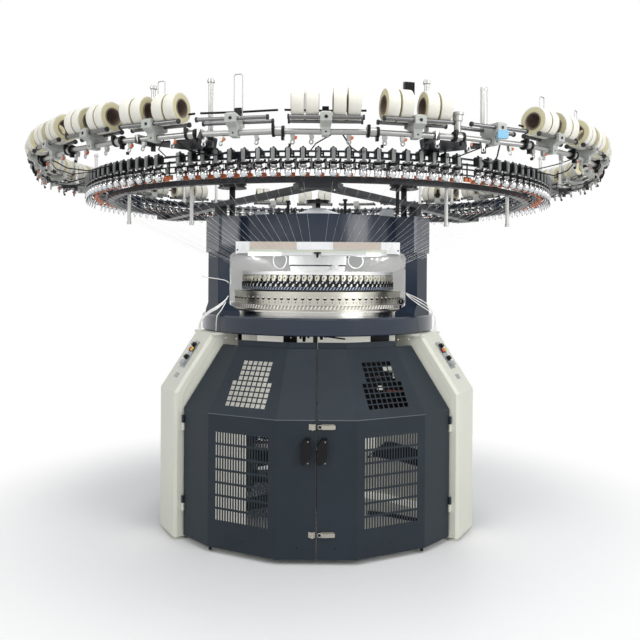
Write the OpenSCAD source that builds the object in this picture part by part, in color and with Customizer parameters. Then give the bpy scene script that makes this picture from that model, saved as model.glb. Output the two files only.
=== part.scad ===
// Double jersey circular knitting machine with its overhead yarn ring, in mm.
// The origin is on the floor, on the machine's vertical axis; the doors face -Y.

/* [Legs] */
// Radius of the legs' outer face
leg_r = 1006; // [980:1:1040]
// Width of a leg box
leg_w = 273; // [240:1:300]
// Height where the outer face starts to lean in
leg_bend_z = 840; // [800:5:880]
// Radial depth of the leg box at the floor
leg_depth = 206; // [180:2:240]
// Height of the levelling feet
foot_h = 20; // [10:1:30]
// Diameter of a levelling foot
foot_d = 70; // [50:1:90]
// Width of the chamfer along a leg's outer edges
leg_chamfer = 16; // [8:1:24]

/* [Doors] */
// Apothem of the front panels, axis to outer skin
door_apothem = 951; // [930:1:960]
// Half width of the front flat
front_half = 210; // [190:1:230]
// Gap under the doors
door_floor_gap = 31; // [20:1:60]
// Height of the shoulder where the skin leans in
shoulder_z = 754; // [720:1:790]
// Height of the doors' upper edge
door_top_z = 1102; // [1060:1:1120]
// Inward lean of the upper panels
door_lean = 225; // [205:1:235]
// Thickness of the doors' sheet, as a stiffened skin
skin_t = 3; // [2:0.5:5]
// Depth of the flanges folded in round a door
fold_d = 24; // [18:1:36]
// Gap between the two leaves
door_gap = 6; // [5:0.5:8]
// Gap between a leaf's hinged edge and the leg
side_gap = 12; // [12:0.5:18]
// Radius of a hinge pin
hinge_pin_r = 5; // [4:0.5:6]
// Height of one hinge knuckle
knuckle_h = 42; // [30:1:60]
// Columns of slots in a door grille
grille_cols = 20; // [12:2:22]
// Rows of slots in a door grille
grille_rows = 7; // [5:1:8]
// Distance between two columns of slots
slot_pitch_x = 16.5; // [14:0.5:18]
// Distance between two rows of slots
slot_pitch_z = 69.5; // [60:0.5:74]
// Distance between two holes of the upper vent
vent_pitch = 31.2; // [28:0.2:33]

/* [Bed] */
// Radius of the bed ring
bed_r = 742; // [720:1:760]
// Underside of the bed ring
bed_z = 1170; // [1150:1:1190]
// Height of the bed ring
bed_h = 101; // [80:1:120]
// Width of the bed ring's section
bed_w = 302; // [260:1:306]

/* [Knitting head] */
// Diameter of the needle cylinder
cyl_d = 864; // [840:1:880]
// Running gap round the needle cylinder
cyl_gap = 8; // [6:0.5:12]
// Width of the lower cam ring's section
cam_w = 95; // [80:1:100]
// Height of the cam ring with its toothed lip
cam_h = 111; // [96:1:126]
// Number of cam sectors round the lower ring
cam_n = 78; // [60:6:96]
// Height of the polished base plate
plate_h = 30; // [24:1:40]
// Radius of the dial's cam ring
dial_r = 483; // [460:1:500]
// Height of the dial's cam ring
dial_h = 110; // [100:1:130]
// Air gap between the lower and the dial cam ring
head_gap = 8; // [6:1:14]

/* [Columns and table] */
// Distance from the drum's face out to the columns' outer face
col_out = 117; // [100:1:125]
// Width of a column
col_w = 156; // [140:1:180]
// Radial depth of a column at its waist
col_t = 75; // [60:1:95]
// Underside of the table drum
table_z = 1646; // [1630:1:1660]
// Height of the table drum
table_h = 214; // [190:1:230]
// Distance from the cam ring's face out to the table drum's face
table_out = 75; // [70:1:90]
// Width of the drum's corner boxes
table_box_w = 230; // [200:1:250]

/* [Overhead rings] */
// Distance from the feeder rails in to the support ring
support_in = 100; // [80:1:120]
// Distance from the creel ring in to the feeder rails
feeder_in = 300; // [280:1:320]
// Underside of the lower feeder rail
feeder_z = 2040; // [2030:1:2050]
// Height from the lower rail's underside to the upper rail's top
feeder_h = 34; // [28:1:40]
// Feeder places round the ring
feeder_n = 132; // [108:12:144]
// Radius of the creel ring
creel_r = 1700; // [1680:1:1710]
// Height of the creel ring's tube
creel_z = 2097; // [2090:1:2105]
// Roller units round the creel ring
creel_n = 28; // [24:4:32]
// Length of the rollers on each side of a unit
roller_l = 132; // [116:1:140]
// Radius of a yarn bobbin
bobbin_r = 67; // [55:1:72]
// Width of a yarn bobbin
bobbin_w = 54; // [44:1:56]

/* [Hidden] */
support_r = creel_r - feeder_in - support_in;
feeder_r = creel_r - feeder_in;

leg_az = 60;
legs = [-leg_az, leg_az, 180];
bed_top = bed_z + bed_h;
leg_top_r = 780;
leg_in_r = 620;
leg_in_bend_z = 720;
leg_in_top_z = 1040;
bed_in_r = bed_r - bed_w;
cyl_r = cyl_d / 2;
cam_in_r = cyl_r + cyl_gap;
cam_r = cam_in_r + cam_w;
table_r = cam_r + table_out;
col_r = table_r + col_out;
cam_z = bed_top + plate_h;
cam_top = cam_z + cam_h;
dial_z = cam_top + head_gap;
table_top = table_z + table_h;
feeder_top = feeder_z + feeder_h;
hinge_zs = [214, 669];
seat = 0.3;

// Turns what is drawn with its outside towards -Y to an azimuth measured from the front
module at_az(a) {
    rotate([0, 0, a]) children();
}

// A flat profile of (distance outwards, height) made w wide across the radius, facing -Y
module radial_plate(w) {
    rotate([90, 0, -90]) translate([0, 0, -w / 2]) linear_extrude(height = w) children();
}

// A ring of rectangular section
module ring(ro, ri, h) {
    rotate_extrude($fn = 120) translate([ri, 0]) square([ro - ri, h]);
}

function unit(v) = v / norm(v);
// The corners of one door leaf, seen from above, at the shoulder and at the top
pivot_in = leg_r - 51;
c3_tau = leg_w / 2 + side_gap;
function leg_point(rho, tau) = [
    rho * sin(leg_az) - tau * cos(leg_az),
    -rho * cos(leg_az) - tau * sin(leg_az)
];
c1 = [front_half, -door_apothem];
c2 = [590, -775];
c3 = leg_point(pivot_in, c3_tau);
top_k = (door_apothem - door_lean) / door_apothem;
c2_top = c2 * top_k;
// The last leaning panel runs level with the one below it and ends beside the leg
function tau_of(p) = -p[0] * cos(leg_az) - p[1] * sin(leg_az);
c3_top = c2_top + unit(c3 - c2) * (c3_tau - tau_of(c2_top)) / tau_of(unit(c3 - c2));
leaf_low = [[door_gap / 2, -door_apothem], c1, c2, c3];
leaf_top = [[door_gap / 2, -door_apothem * top_k], c1 * top_k, c2_top, c3_top];

function inward(p, q) = let (d = unit(q - p)) [-d[1], d[0]];

// One flat panel between two bottom and two top corners, t thick towards the axis
module panel(p, q, p2, q2, z0, z1, t) {
    n = inward(p, q) * t;
    polyhedron(
        points = [
            [p[0], p[1], z0], [q[0], q[1], z0], [q[0] + n[0], q[1] + n[1], z0],
            [p[0] + n[0], p[1] + n[1], z0],
            [p2[0], p2[1], z1], [q2[0], q2[1], z1], [q2[0] + n[0], q2[1] + n[1], z1],
            [p2[0] + n[0], p2[1] + n[1], z1]
        ],
        faces = [[0, 1, 2, 3], [7, 6, 5, 4], [0, 4, 5, 1], [1, 5, 6, 2], [2, 6, 7, 3], [3, 7, 4, 0]]
    );
}

// A frame laid on a panel: x along it, y outwards, z up the slope
module on_panel(p, q, z) {
    d = unit(q - p);
    translate([(p[0] + q[0]) / 2, (p[1] + q[1]) / 2, z])
        rotate([0, 0, atan2(d[1], d[0])]) children();
}

// The folded sheet of a leaf, seen from above: skin and the flanges at both ends
corner_cos = cos(acos(inward(leaf_low[0], c1) * inward(c1, c2)) / 2);
function fold_at(n1, n2) = unit(n1 + n2) * skin_t / corner_cos;
function leaf_sheet(v) = let (
    n1 = inward(v[0], v[1]), n2 = inward(v[1], v[2]), n3 = inward(v[2], v[3]),
    d1 = unit(v[1] - v[0]), d3 = unit(v[3] - v[2])
) concat(v, [
    v[3] + n3 * fold_d, v[3] + n3 * fold_d - d3 * skin_t, v[3] + n3 * skin_t - d3 * skin_t,
    v[2] + fold_at(n2, n3), v[1] + fold_at(n1, n2),
    v[0] + n1 * skin_t + d1 * skin_t, v[0] + n1 * fold_d + d1 * skin_t, v[0] + n1 * fold_d
]);
function inner_line(v) = let (
    n1 = inward(v[0], v[1]), n2 = inward(v[1], v[2]), n3 = inward(v[2], v[3])
) [v[0] + n1 * skin_t, v[1] + fold_at(n1, n2), v[2] + fold_at(n2, n3), v[3] + n3 * skin_t];
function at_height(v, z) = [for (p = v) [p[0], p[1], z]];
// The three leaning panels of a leaf in one piece
module leaning_skin() {
    polyhedron(
        points = concat(at_height(leaf_low, shoulder_z), at_height(inner_line(leaf_low), shoulder_z),
            at_height(leaf_top, door_top_z), at_height(inner_line(leaf_top), door_top_z)),
        faces = concat(
            [for (i = [0 : 2]) [i, i + 8, i + 9, i + 1]], [for (i = [4 : 6]) [i + 1, i + 9, i + 8, i]],
            [for (i = [0 : 2]) [i + 1, i + 5, i + 4, i]], [for (i = [8 : 10]) [i, i + 4, i + 5, i + 1]],
            [[0, 4, 12, 8], [3, 11, 15, 7]]
        )
    );
}
// The level flange that closes a leaf's lower and upper edge
function leaf_flange(v) = let (
    n1 = inward(v[0], v[1]), n2 = inward(v[1], v[2]), n3 = inward(v[2], v[3])
) concat(v, [
    v[3] + n3 * fold_d,
    v[2] + fold_at(n2, n3) * fold_d / skin_t,
    v[1] + fold_at(n1, n2) * fold_d / skin_t,
    v[0] + n1 * fold_d
]);

slot_w = slot_pitch_x * 0.53;
slot_l = slot_pitch_z * 0.83;
grille_z = 422;
module grille_slots() {
    for (i = [0 : grille_cols - 1], k = [0 : grille_rows - 1])
        translate([
            (i - (grille_cols - 1) / 2) * slot_pitch_x, 0, (k - (grille_rows - 1) / 2) * slot_pitch_z
        ]) cube([slot_w, 6 * skin_t, slot_l], center = true);
}

// Square holes on one grid: five wide rows below, four narrower ones above
vent_hole = vent_pitch * 0.79;
vent_low_rows = 5;
vent_rows = 9;
vent_at = 0.463;
slope = atan2(door_lean, door_top_z - shoulder_z);
module vent_holes() {
    for (k = [0 : vent_rows - 1]) {
        cols = k < vent_low_rows ? 8 : 6;
        for (i = [0 : cols - 1])
            translate([(i - (cols - 1) / 2) * vent_pitch, 0, (k - (vent_rows - 1) / 2) * vent_pitch])
                cube([vent_hole, 6 * skin_t, vent_hole], center = true);
    }
}

// One leaf for the right-hand side: lower panels, leaning upper panels, flanges
module leaf() {
    difference() {
        union() {
            translate([0, 0, door_floor_gap])
                linear_extrude(height = shoulder_z - door_floor_gap) polygon(leaf_sheet(leaf_low));
            translate([0, 0, door_floor_gap]) linear_extrude(height = skin_t) polygon(leaf_flange(leaf_low));
        }
        on_panel(c1, c2, grille_z) grille_slots();
        for (z = hinge_zs) translate([hinge_at[0], hinge_at[1], z - knuckle_h - knuckle_clear])
            cylinder(r = knuckle_r + knuckle_clear, h = knuckle_h + knuckle_clear + 0.5, $fn = 32);
    }
    d1 = [skin_t, 0];
    d3 = unit(c3 - c2) * skin_t;
    difference() {
        leaning_skin();
        on_panel(c1 * (1 - (1 - top_k) * vent_at), c2 * (1 - (1 - top_k) * vent_at),
            shoulder_z + vent_at * (door_top_z - shoulder_z)) rotate([-slope, 0, 0]) vent_holes();
    }
    panel(leaf_low[0], leaf_low[0] + d1, leaf_top[0], leaf_top[0] + d1, shoulder_z, door_top_z, fold_d);
    panel(c3 - d3, c3, c3_top - d3, c3_top, shoulder_z, door_top_z, fold_d);
    translate([0, 0, door_top_z - skin_t]) linear_extrude(height = skin_t) polygon(leaf_flange(leaf_top));
}

module both_sides() {
    children();
    mirror([1, 0, 0]) children();
}

// Hinges: the axis stands just outside the leaf's last corner
run_clear = 0.05;
knuckle_r = hinge_pin_r + 3;
knuckle_clear = 5;
knuckle_off = knuckle_r - 2;
hinge_at = c3 - inward(c2, c3) * knuckle_off;
hinge_rho = hinge_at[0] * sin(leg_az) - hinge_at[1] * cos(leg_az);
hinge_tau = -hinge_at[0] * cos(leg_az) - hinge_at[1] * sin(leg_az);

module door_knuckles() {
    for (z = hinge_zs) translate([hinge_at[0], hinge_at[1], z + 1])
        difference() {
            cylinder(r = knuckle_r, h = knuckle_h, $fn = 32);
            translate([0, 0, -1]) cylinder(r = hinge_pin_r + run_clear, h = knuckle_h + 2, $fn = 32);
        }
}

strap_t = 6;
module leg_knuckles() {
    for (z = hinge_zs) at_az(leg_az) translate([-hinge_tau, -hinge_rho, z]) {
        translate([0, 0, -knuckle_h]) cylinder(r = knuckle_r, h = knuckle_h, $fn = 32);
        cylinder(r = hinge_pin_r, h = knuckle_h, $fn = 32);
        translate([0, -strap_t / 2, -knuckle_h]) cube([hinge_tau - leg_w / 2 + 1, strap_t, knuckle_h]);
    }
}

// A sheet box with chamfered outer edges, a panel line on each side and a flange under the bed
groove_w = 3;
groove_in = 48;
flange_t = 14;
flange_out = 15;
flange_lip = 5;
module leg_groove() {
    polygon([
        [leg_r - groove_in, 3 * foot_h], [leg_r - groove_in, leg_bend_z - groove_in / 3],
        [leg_top_r - groove_in / 2, bed_z - 3 * flange_t],
        [leg_top_r - groove_in / 2 - groove_w, bed_z - 3 * flange_t],
        [leg_r - groove_in - groove_w, leg_bend_z - groove_in / 3], [leg_r - groove_in - groove_w, 3 * foot_h]
    ]);
}
// The box as one closed skin: side profiles, then the front edge drawn in by the chamfer
slope_cos = (bed_z - leg_bend_z) / norm([leg_r - leg_top_r, bed_z - leg_bend_z]);
side_top_r = leg_top_r - leg_chamfer / slope_cos;
side_bend_z = bed_z - (leg_r - leg_chamfer - side_top_r) * (bed_z - leg_bend_z) / (leg_r - leg_top_r);
leg_side = [
    [leg_r - leg_depth, foot_h], [leg_r - leg_chamfer, foot_h], [leg_r - leg_chamfer, side_bend_z],
    [side_top_r, bed_z], [leg_in_r, bed_z], [leg_in_r, leg_in_top_z], [leg_r - leg_depth, leg_in_bend_z]
];
leg_front = [[leg_r, foot_h], [leg_r, leg_bend_z], [leg_top_r, bed_z]];
module leg_skin() {
    polyhedron(
        points = [for (s = [1, -1], k = [0, 1], v = k == 0 ? leg_side : leg_front)
            [s * (leg_w / 2 - k * leg_chamfer), -v[0], v[1]]],
        faces = [
            [0, 1, 2, 3, 4, 5, 6], [16, 15, 14, 13, 12, 11, 10],
            [2, 1, 7, 8], [3, 2, 8, 9], [8, 7, 17, 18], [9, 8, 18, 19], [11, 12, 18, 17], [12, 13, 19, 18],
            [7, 1, 0, 10, 11, 17], [4, 3, 9, 19, 13, 14], [5, 4, 14, 15], [6, 5, 15, 16], [0, 6, 16, 10]
        ]
    );
}
module leg_box() {
    difference() {
        leg_skin();
        for (s = [-1, 1]) translate([s * leg_w / 2, 0, 0]) radial_plate(4) leg_groove();
    }
    translate([-leg_w / 2 - flange_out, -leg_top_r - flange_lip, bed_z - flange_t])
        cube([leg_w + 2 * flange_out, leg_top_r + flange_lip - leg_in_r - flange_t, flange_t]);
    for (s = [-1, 1], r = [leg_r - 50, leg_r - leg_depth + 50]) translate([s * (leg_w / 2 - 45), -r, 0]) {
        cylinder(d = foot_d, h = foot_h / 2, $fn = 32);
        cylinder(d = foot_d / 2, h = foot_h + 1, $fn = 32);
    }
}

module leg_right() {
    color("#dcdccf") {
        at_az(leg_az) leg_box();
        leg_knuckles();
    }
}
module leg_left() {
    color("#dcdccf") mirror([1, 0, 0]) {
        at_az(leg_az) leg_box();
        leg_knuckles();
    }
}
module leg_rear() {
    color("#dcdccf") at_az(180) leg_box();
}

base_z = 60;
base_h = 60;
base_arm_w = 90;
base_arm_h = base_h - 10;
base_boss_r = 130;
base_arm_from = 100;
module base_frame() {
    color("#3a3d42") difference() {
        union() {
            translate([0, 0, base_z]) cylinder(r = base_boss_r, h = base_h, $fn = 48);
            for (a = legs) at_az(a)
                translate([-base_arm_w / 2, -(leg_r - leg_depth), base_z + 5])
                    cube([base_arm_w, leg_r - leg_depth - base_arm_from, base_arm_h]);
        }
        translate([0, 0, base_z - 1]) cylinder(r = spindle_r + run_clear, h = base_h + 2, $fn = 48);
    }
}

module bed_ring() {
    color("#27303f") rotate_extrude($fn = 120) polygon([
        [bed_in_r, bed_z], [bed_r - 6, bed_z], [bed_r, bed_z + 6],
        [bed_r, bed_top - 10], [bed_r - 10, bed_top], [bed_in_r, bed_top]
    ]);
}

// A fixed bay: two leaves closed by a seam strip and hung on the legs by four blocks
seam_half = door_gap / 2 + skin_t / 2;
guard_az = 180 - leg_az;
module guard_bay() {
    both_sides() leaf();
    translate([-seam_half, -door_apothem, door_floor_gap])
        cube([2 * seam_half, fold_d, shoulder_z - door_floor_gap]);
    panel([-seam_half, -door_apothem], [seam_half, -door_apothem], [-seam_half, -door_apothem * top_k],
        [seam_half, -door_apothem * top_k], shoulder_z, door_top_z, fold_d);
    for (z = hinge_zs) both_sides() at_az(leg_az)
        translate([-c3_tau - 4 * skin_t, -pivot_in + 1, z])
            cube([c3_tau - leg_w / 2 + 4 * skin_t, fold_d - 4, knuckle_h]);
}
module guard_right() {
    color("#333b45") at_az(guard_az) guard_bay();
}
module guard_left() {
    color("#333b45") at_az(-guard_az) guard_bay();
}

module door_right() {
    color("#2f3741") {
        leaf();
        door_knuckles();
    }
}
module door_left() {
    color("#2f3741") mirror([1, 0, 0]) {
        leaf();
        door_knuckles();
    }
}

handle_w = 50;
handle_h = 134;
handle_d = 32;
handle_z = 595;
handle_y = -door_apothem;
module handle() {
    rotate([90, 0, 0]) linear_extrude(height = handle_d) polygon([
        [0, 8], [0, 96], [22, handle_h], [handle_w, handle_h], [handle_w, 36], [16, 0], [6, 0]
    ]);
}
module handle_right() {
    color("#101214") translate([4, handle_y, handle_z - handle_h / 2]) handle();
}
module handle_left() {
    color("#101214") translate([-82, handle_y, handle_z - handle_h / 2]) handle();
}

// Draw latches across the seam: hook plate on the left leaf, lever and wire bail on the right one
latch_zs = [162, 721];
latch_plate_t = 3;
hook_r = 9;
module latch_catches() {
    color("#c9c4b4") for (z = latch_zs) translate([0, -door_apothem, z]) {
        translate([-40, -latch_plate_t, -15]) cube([34, latch_plate_t, 30]);
        for (s = [-1, 1]) translate([-20, 0, s * hook_r * 0.8]) rotate([90, 0, 0])
            cylinder(r = hook_r, h = 13, $fn = 32);
    }
}
bail_r = 10;
bail_wire_r = 2;
module latch_levers() {
    color("#c9c4b4") for (z = latch_zs) translate([0, -door_apothem, z]) {
        translate([26, -latch_plate_t, -14]) cube([66, latch_plate_t, 28]);
        translate([0, 0, -10]) linear_extrude(height = 20) polygon([
            [26, 0], [26, -12], [40, -17], [62, -16], [88, -9], [98, -9], [98, -6], [90, 0]
        ]);
        translate([17, -9, 0]) rotate([90, 0, 0]) rotate_extrude($fn = 40)
            translate([bail_r, 0]) circle(r = bail_wire_r, $fn = 16);
    }
}

// The leaning face of a leg, as a frame: x across, y out of the face, z up the slope
face_lean = atan2(leg_r - leg_top_r, bed_z - leg_bend_z);
module on_leg_face(a, k) {
    at_az(a) translate([0, -(leg_r + k * (leg_top_r - leg_r)), leg_bend_z + k * (bed_z - leg_bend_z)])
        rotate([-face_lean, 0, 0]) children();
}
plate_w = 70;
plate_l = 176;
plate_t = 7;
plate_k = 0.6;
plate_side = 8;
module control_plate() {
    translate([plate_side - plate_w / 2, -plate_t, -plate_l / 2]) cube([plate_w, plate_t, plate_l]);
}
module control_plate_left() {
    color("#9aa0a4") on_leg_face(-leg_az, plate_k) control_plate();
}
module control_plate_right() {
    color("#9aa0a4") on_leg_face(leg_az, plate_k) control_plate();
}
// Two rotary switches with a square stop and start button between them
knob_d = 28;
knob_h = 20;
knob_grip = 6;
knob_zs = [-24, 60];
button_w = 26;
button_off = 17;
button_z = 30;
module control_buttons() {
    color("#b3271f") for (a = [-leg_az, leg_az]) on_leg_face(a, plate_k)
        translate([plate_side, -plate_t, 0]) {
            for (z = knob_zs) translate([0, 0, z]) rotate([90, 0, 0]) {
                cylinder(d = knob_d, h = knob_h / 2, $fn = 32);
                translate([-knob_grip / 2, 2 - knob_d / 2, knob_h / 2 - 1])
                    cube([knob_grip, knob_d - 4, knob_h / 2 + 1]);
            }
            for (s = [-1, 1]) translate([s * button_off - button_w / 2, -knob_h / 2, button_z - button_w / 2])
                cube([button_w, knob_h / 2, button_w]);
        }
}

plate_out = 5;
disc_out = 43;
disc_h = 8;
module cam_plate() {
    color("#c9c8c4") translate([0, 0, bed_top]) rotate_extrude($fn = 120) polygon([
        [cam_in_r, 0], [cam_r + plate_out, 0], [cam_r + plate_out, plate_h - disc_h],
        [cam_r + disc_out, plate_h - disc_h], [cam_r + disc_out, plate_h], [cam_in_r, plate_h]
    ]);
}

// The cam ring: a collar for the yarn guides below, then one sector beside the other,
// each with its adjuster hole
lip_z = 8;
lip_h = 32;
lip_w = 25;
band_h = 18;
cam_hole_d = 17;
cam_hole_z = 70;
groove = 1.2;
module cam_ring() {
    color("#b9b5ac") difference() {
        translate([0, 0, cam_z]) rotate_extrude($fn = 120) polygon([
            [cam_in_r, 0], [cam_r, 0], [cam_r, lip_z], [cam_r + lip_w, lip_z], [cam_r + lip_w, lip_h - 6],
            [cam_r + lip_w - 6, lip_h], [cam_r, lip_h], [cam_r, cam_h - band_h], [cam_r + 4, cam_h - band_h],
            [cam_r + 4, cam_h], [cam_in_r, cam_h]
        ]);
        for (i = [0 : cam_n - 1]) at_az((i + 0.5) * 360 / cam_n) {
            translate([-groove / 2, -cam_r - 1, cam_z + lip_h + 2])
                cube([groove, 4, cam_h - band_h - lip_h - 4]);
            rotate([0, 0, 180 / cam_n]) translate([0, -cam_r + 12, cam_z + cam_hole_z]) rotate([90, 0, 0])
                cylinder(d = cam_hole_d, h = 20, $fn = 24);
        }
    }
}

rail_w = 8;
rail_band = 20;
dial_ring_w = 80;
dial_bore_r = 60;
dial_plate_z = 30;
dial_plate_h = 50;
dial_flange_r = 150;
dial_flange_h = 40;
dial_neck_r = 90;
module dial_cam_ring() {
    color("#2a3342") translate([0, 0, dial_z]) rotate_extrude($fn = 120) polygon([
        [dial_r - dial_ring_w, 0], [dial_r + rail_w, 0], [dial_r + rail_w, rail_band], [dial_r - rail_w, rail_band],
        [dial_r - rail_w, dial_h - rail_band], [dial_r + rail_w / 2, dial_h - rail_band],
        [dial_r + rail_w / 2, dial_h], [dial_r - dial_ring_w, dial_h]
    ]);
}
module dial_plate() {
    color("#c4c6c8") translate([0, 0, dial_z + dial_plate_z])
        ring(dial_r - dial_ring_w, dial_bore_r, dial_plate_h);
}
module dial_support() {
    neck_z = dial_z + dial_plate_z + dial_plate_h;
    color("#2a3342") translate([0, 0, neck_z]) {
        cylinder(r = dial_flange_r, h = dial_flange_h, $fn = 64);
        cylinder(r = dial_neck_r, h = table_z - neck_z, $fn = 64);
    }
}
cover_w = 336;
cover_d = 210;
cover_h = 76;
module dial_cover() {
    color("#e6e8e8") translate([0, -dial_r, table_z - cover_h]) linear_extrude(height = cover_h) polygon([
        [-cover_w / 2, 12], [-cover_w / 2 + 12, 0], [cover_w / 2 - 12, 0], [cover_w / 2, 12],
        [cover_w / 2, cover_d], [-cover_w / 2, cover_d]
    ]);
}

spindle_r = 50;
rotor_ring_z = 1120;
side_w = 60;
frame_half_x = 420;
frame_depth = 500;
beam_z = 170;
module needle_cylinder() {
    color("#b9bcbf") translate([0, 0, bed_z - 10]) ring(cyl_r, cyl_r - 32, cam_top - bed_z + 10);
}
// Frame that turns under the cylinder: top ring, two side plates, cross beam and pivot
module takedown_frame() {
    color("#5b6066") {
        translate([0, 0, rotor_ring_z]) ring(cyl_r, cyl_r - 70, bed_z - 10 - rotor_ring_z);
        for (s = [-1, 1]) translate([s * frame_half_x - 20, -frame_depth / 2, beam_z])
            cube([40, frame_depth, rotor_ring_z - beam_z]);
        translate([-frame_half_x, -60, beam_z]) cube([2 * frame_half_x, 120, 50]);
        translate([0, 0, base_z + base_h / 2])
            cylinder(r = spindle_r, h = beam_z - base_z - base_h / 2, $fn = 48);
    }
}
roller_len = 2 * frame_half_x - 40;
module x_roller(y, z, r) {
    translate([-roller_len / 2, y, z]) rotate([0, 90, 0]) cylinder(r = r, h = roller_len, $fn = 48);
}
nip_r = 32;
nip_z = 640;
module takedown_rollers() {
    color("#7b8288") {
        for (s = [-1, 1]) x_roller(s * (2 * nip_r - 2), nip_z, nip_r);
        x_roller(0, nip_z - 40, nip_r - 3);
    }
}
take_up_r = 42;
take_up_z = 390;
module take_up_roll() {
    color("#9a9d9f") x_roller(0, take_up_z, take_up_r);
}

function arc(cx, cy, r, a0, a1, n) = [
    for (i = [0 : n]) let (a = a0 + (a1 - a0) * i / n) [cx + r * cos(a), cy + r * sin(a)]
];

foot_flare = 40;
fillet_r = 36;
module column() {
    intersection() {
        radial_plate(col_w + 2 * foot_flare) polygon(concat(
            [[col_r, bed_top], [col_r, table_z]],
            arc(col_r - col_t - fillet_r, table_z - fillet_r, fillet_r, 90, 0, 6),
            [[col_r - col_t, bed_top + 60], [col_r - col_t - 50, bed_top + 20], [col_r - col_t - 50, bed_top]]
        ));
        rotate([90, 0, 0]) linear_extrude(height = col_r + 10) polygon([
            [-col_w / 2 - foot_flare, bed_top], [col_w / 2 + foot_flare, bed_top],
            [col_w / 2 + foot_flare, bed_top + 25], [col_w / 2, bed_top + 70],
            [col_w / 2, table_z], [-col_w / 2, table_z], [-col_w / 2, bed_top + 70],
            [-col_w / 2 - foot_flare, bed_top + 25]
        ]);
    }
}
module column_left() {
    color("#27303f") at_az(-leg_az) column();
}
module column_right() {
    color("#27303f") at_az(leg_az) column();
}
module column_rear() {
    color("#27303f") at_az(180) column();
}

box_chamfer = 12;
module table_box() {
    translate([0, 0, table_z]) linear_extrude(height = table_h) polygon([
        [-table_box_w / 2, -table_r / 2], [-table_box_w / 2, box_chamfer - col_r - 5],
        [box_chamfer - table_box_w / 2, -col_r - 5], [table_box_w / 2 - box_chamfer, -col_r - 5],
        [table_box_w / 2, box_chamfer - col_r - 5], [table_box_w / 2, -table_r / 2]
    ]);
}
module table_drum() {
    color("#27303f") difference() {
        union() {
            translate([0, 0, table_z]) cylinder(r = table_r, h = table_h, $fn = 120);
            for (a = legs) at_az(a) table_box();
        }
        translate([0, 0, table_z - 1]) cylinder(r = table_r - 60, h = table_h - 40, $fn = 120);
    }
    color("#27303f") translate([0, 0, table_z]) ring(table_r - 60, 80, 30);
}

// A straight lamp housing across the front, hung on the drum by four tabs
bar_w = 918;
bar_h = 79;
bar_d = 56;
bar_z = 1616;
cap_w = 74;
tab_t = 6;
module light_bar() {
    color("#f0f2f2") {
        translate([-bar_w / 2 + cap_w, 0, 0]) rotate([90, 0, 90])
            linear_extrude(height = bar_w - 2 * cap_w) translate([-table_r, bar_z]) polygon([
                [-seat, 24], [-seat, bar_h], [-bar_d, bar_h], [-bar_d, 36], [-bar_d + 8, 30],
                [-bar_d + 8, 6], [-bar_d + 16, 0], [-20, 0], [-14, 6], [-14, 24]
            ]);
        for (s = [-1, 1]) translate([s * (bar_w - cap_w) / 2 - cap_w / 2, -table_r - bar_d - 3, bar_z + 8])
            cube([cap_w, bar_d + 3 - seat, bar_h - 8]);
        for (x = [-300, -120, 120, 300]) difference() {
            translate([x - 20, -table_r - seat - 1, bar_z + bar_h - 20 - tab_t]) cube([40, 110, tab_t]);
            translate([0, 0, bar_z]) cylinder(r = table_r + seat, h = bar_h, $fn = 120);
        }
    }
}

// One curved sheet behind the head, open at the front in an arch
shield_t = 4;
shield_z = bed_top + plate_h + 30;
shield_half = 537;
arch_in = 76;
arch_h = 135;
// A point of the arch's rounded corner; its top point stands 1 mm above the sheet for a clean cut
function arch_point(a, side) = [
    side * (shield_half - arch_in * (1 - cos(a))), table_z - arch_h + arch_h * sin(a) + (a == 90 ? 1 : 0)
];
module shields() {
    color("#c8ccce") difference() {
        translate([0, 0, shield_z]) ring(table_r - shield_t, table_r - 2 * shield_t, table_z - shield_z);
        rotate([90, 0, 0]) linear_extrude(height = table_r) polygon(concat(
            [[-shield_half, shield_z - 1], [shield_half, shield_z - 1]],
            [for (a = [0 : 15 : 90]) arch_point(a, 1)],
            [for (a = [90 : -15 : 0]) arch_point(a, -1)]
        ));
    }
}

hub_r = 280;
hub_h = 85;
arm_rise = 55;
arm_h = 28;
arm_w = 62;
arm_from = 680;
support_w = 40;
arm_z = table_top + arm_rise;
support_z = arm_z + arm_h;
support_top = support_z + arm_h;
module centre_hub() {
    color("#9a9d9f") translate([0, 0, table_top]) rotate_extrude($fn = 96)
        polygon([
            [0, 0], [hub_r, 0], [hub_r, 8], [hub_r / 4, hub_h - 10], [hub_r / 4 - 10, hub_h], [0, hub_h]
        ]);
}
// Two arms from each column's head to the ring, where they meet in pairs under a joining plate
module arm(p, q) {
    translate(p) rotate(atan2(q[1] - p[1], q[0] - p[0]))
        translate([0, -arm_w / 2]) square([norm(q - p), arm_w]);
}
join_w = 240;
join_taper = 30;
join_in = 60;
join_out = 18;
module spider_arms() {
    color("#3b3e42") {
        translate([0, 0, arm_z]) linear_extrude(height = arm_h) for (a = legs) rotate(a) {
            for (s = [-1, 1]) arm([0, -arm_from], support_r * [s * sin(60), -cos(60)]);
            rotate(60) polygon([
                [-join_w / 2, join_in - support_r], [join_w / 2, join_in - support_r],
                [join_w / 2 - join_taper, -support_r - join_out],
                [join_taper - join_w / 2, -support_r - join_out]
            ]);
        }
        for (a = legs) at_az(a) translate([0, -arm_from, table_top])
            cylinder(r = arm_w * 0.6, h = arm_rise + arm_h / 2, $fn = 40);
    }
}
module support_ring() {
    color("#26282c") translate([0, 0, support_z])
        ring(support_r + support_w / 2, support_r - support_w / 2, arm_h);
}
wheel_r = 88;
wheel_h = 28;
wheel_at = 605;
wheel_z = 2036;
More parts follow.
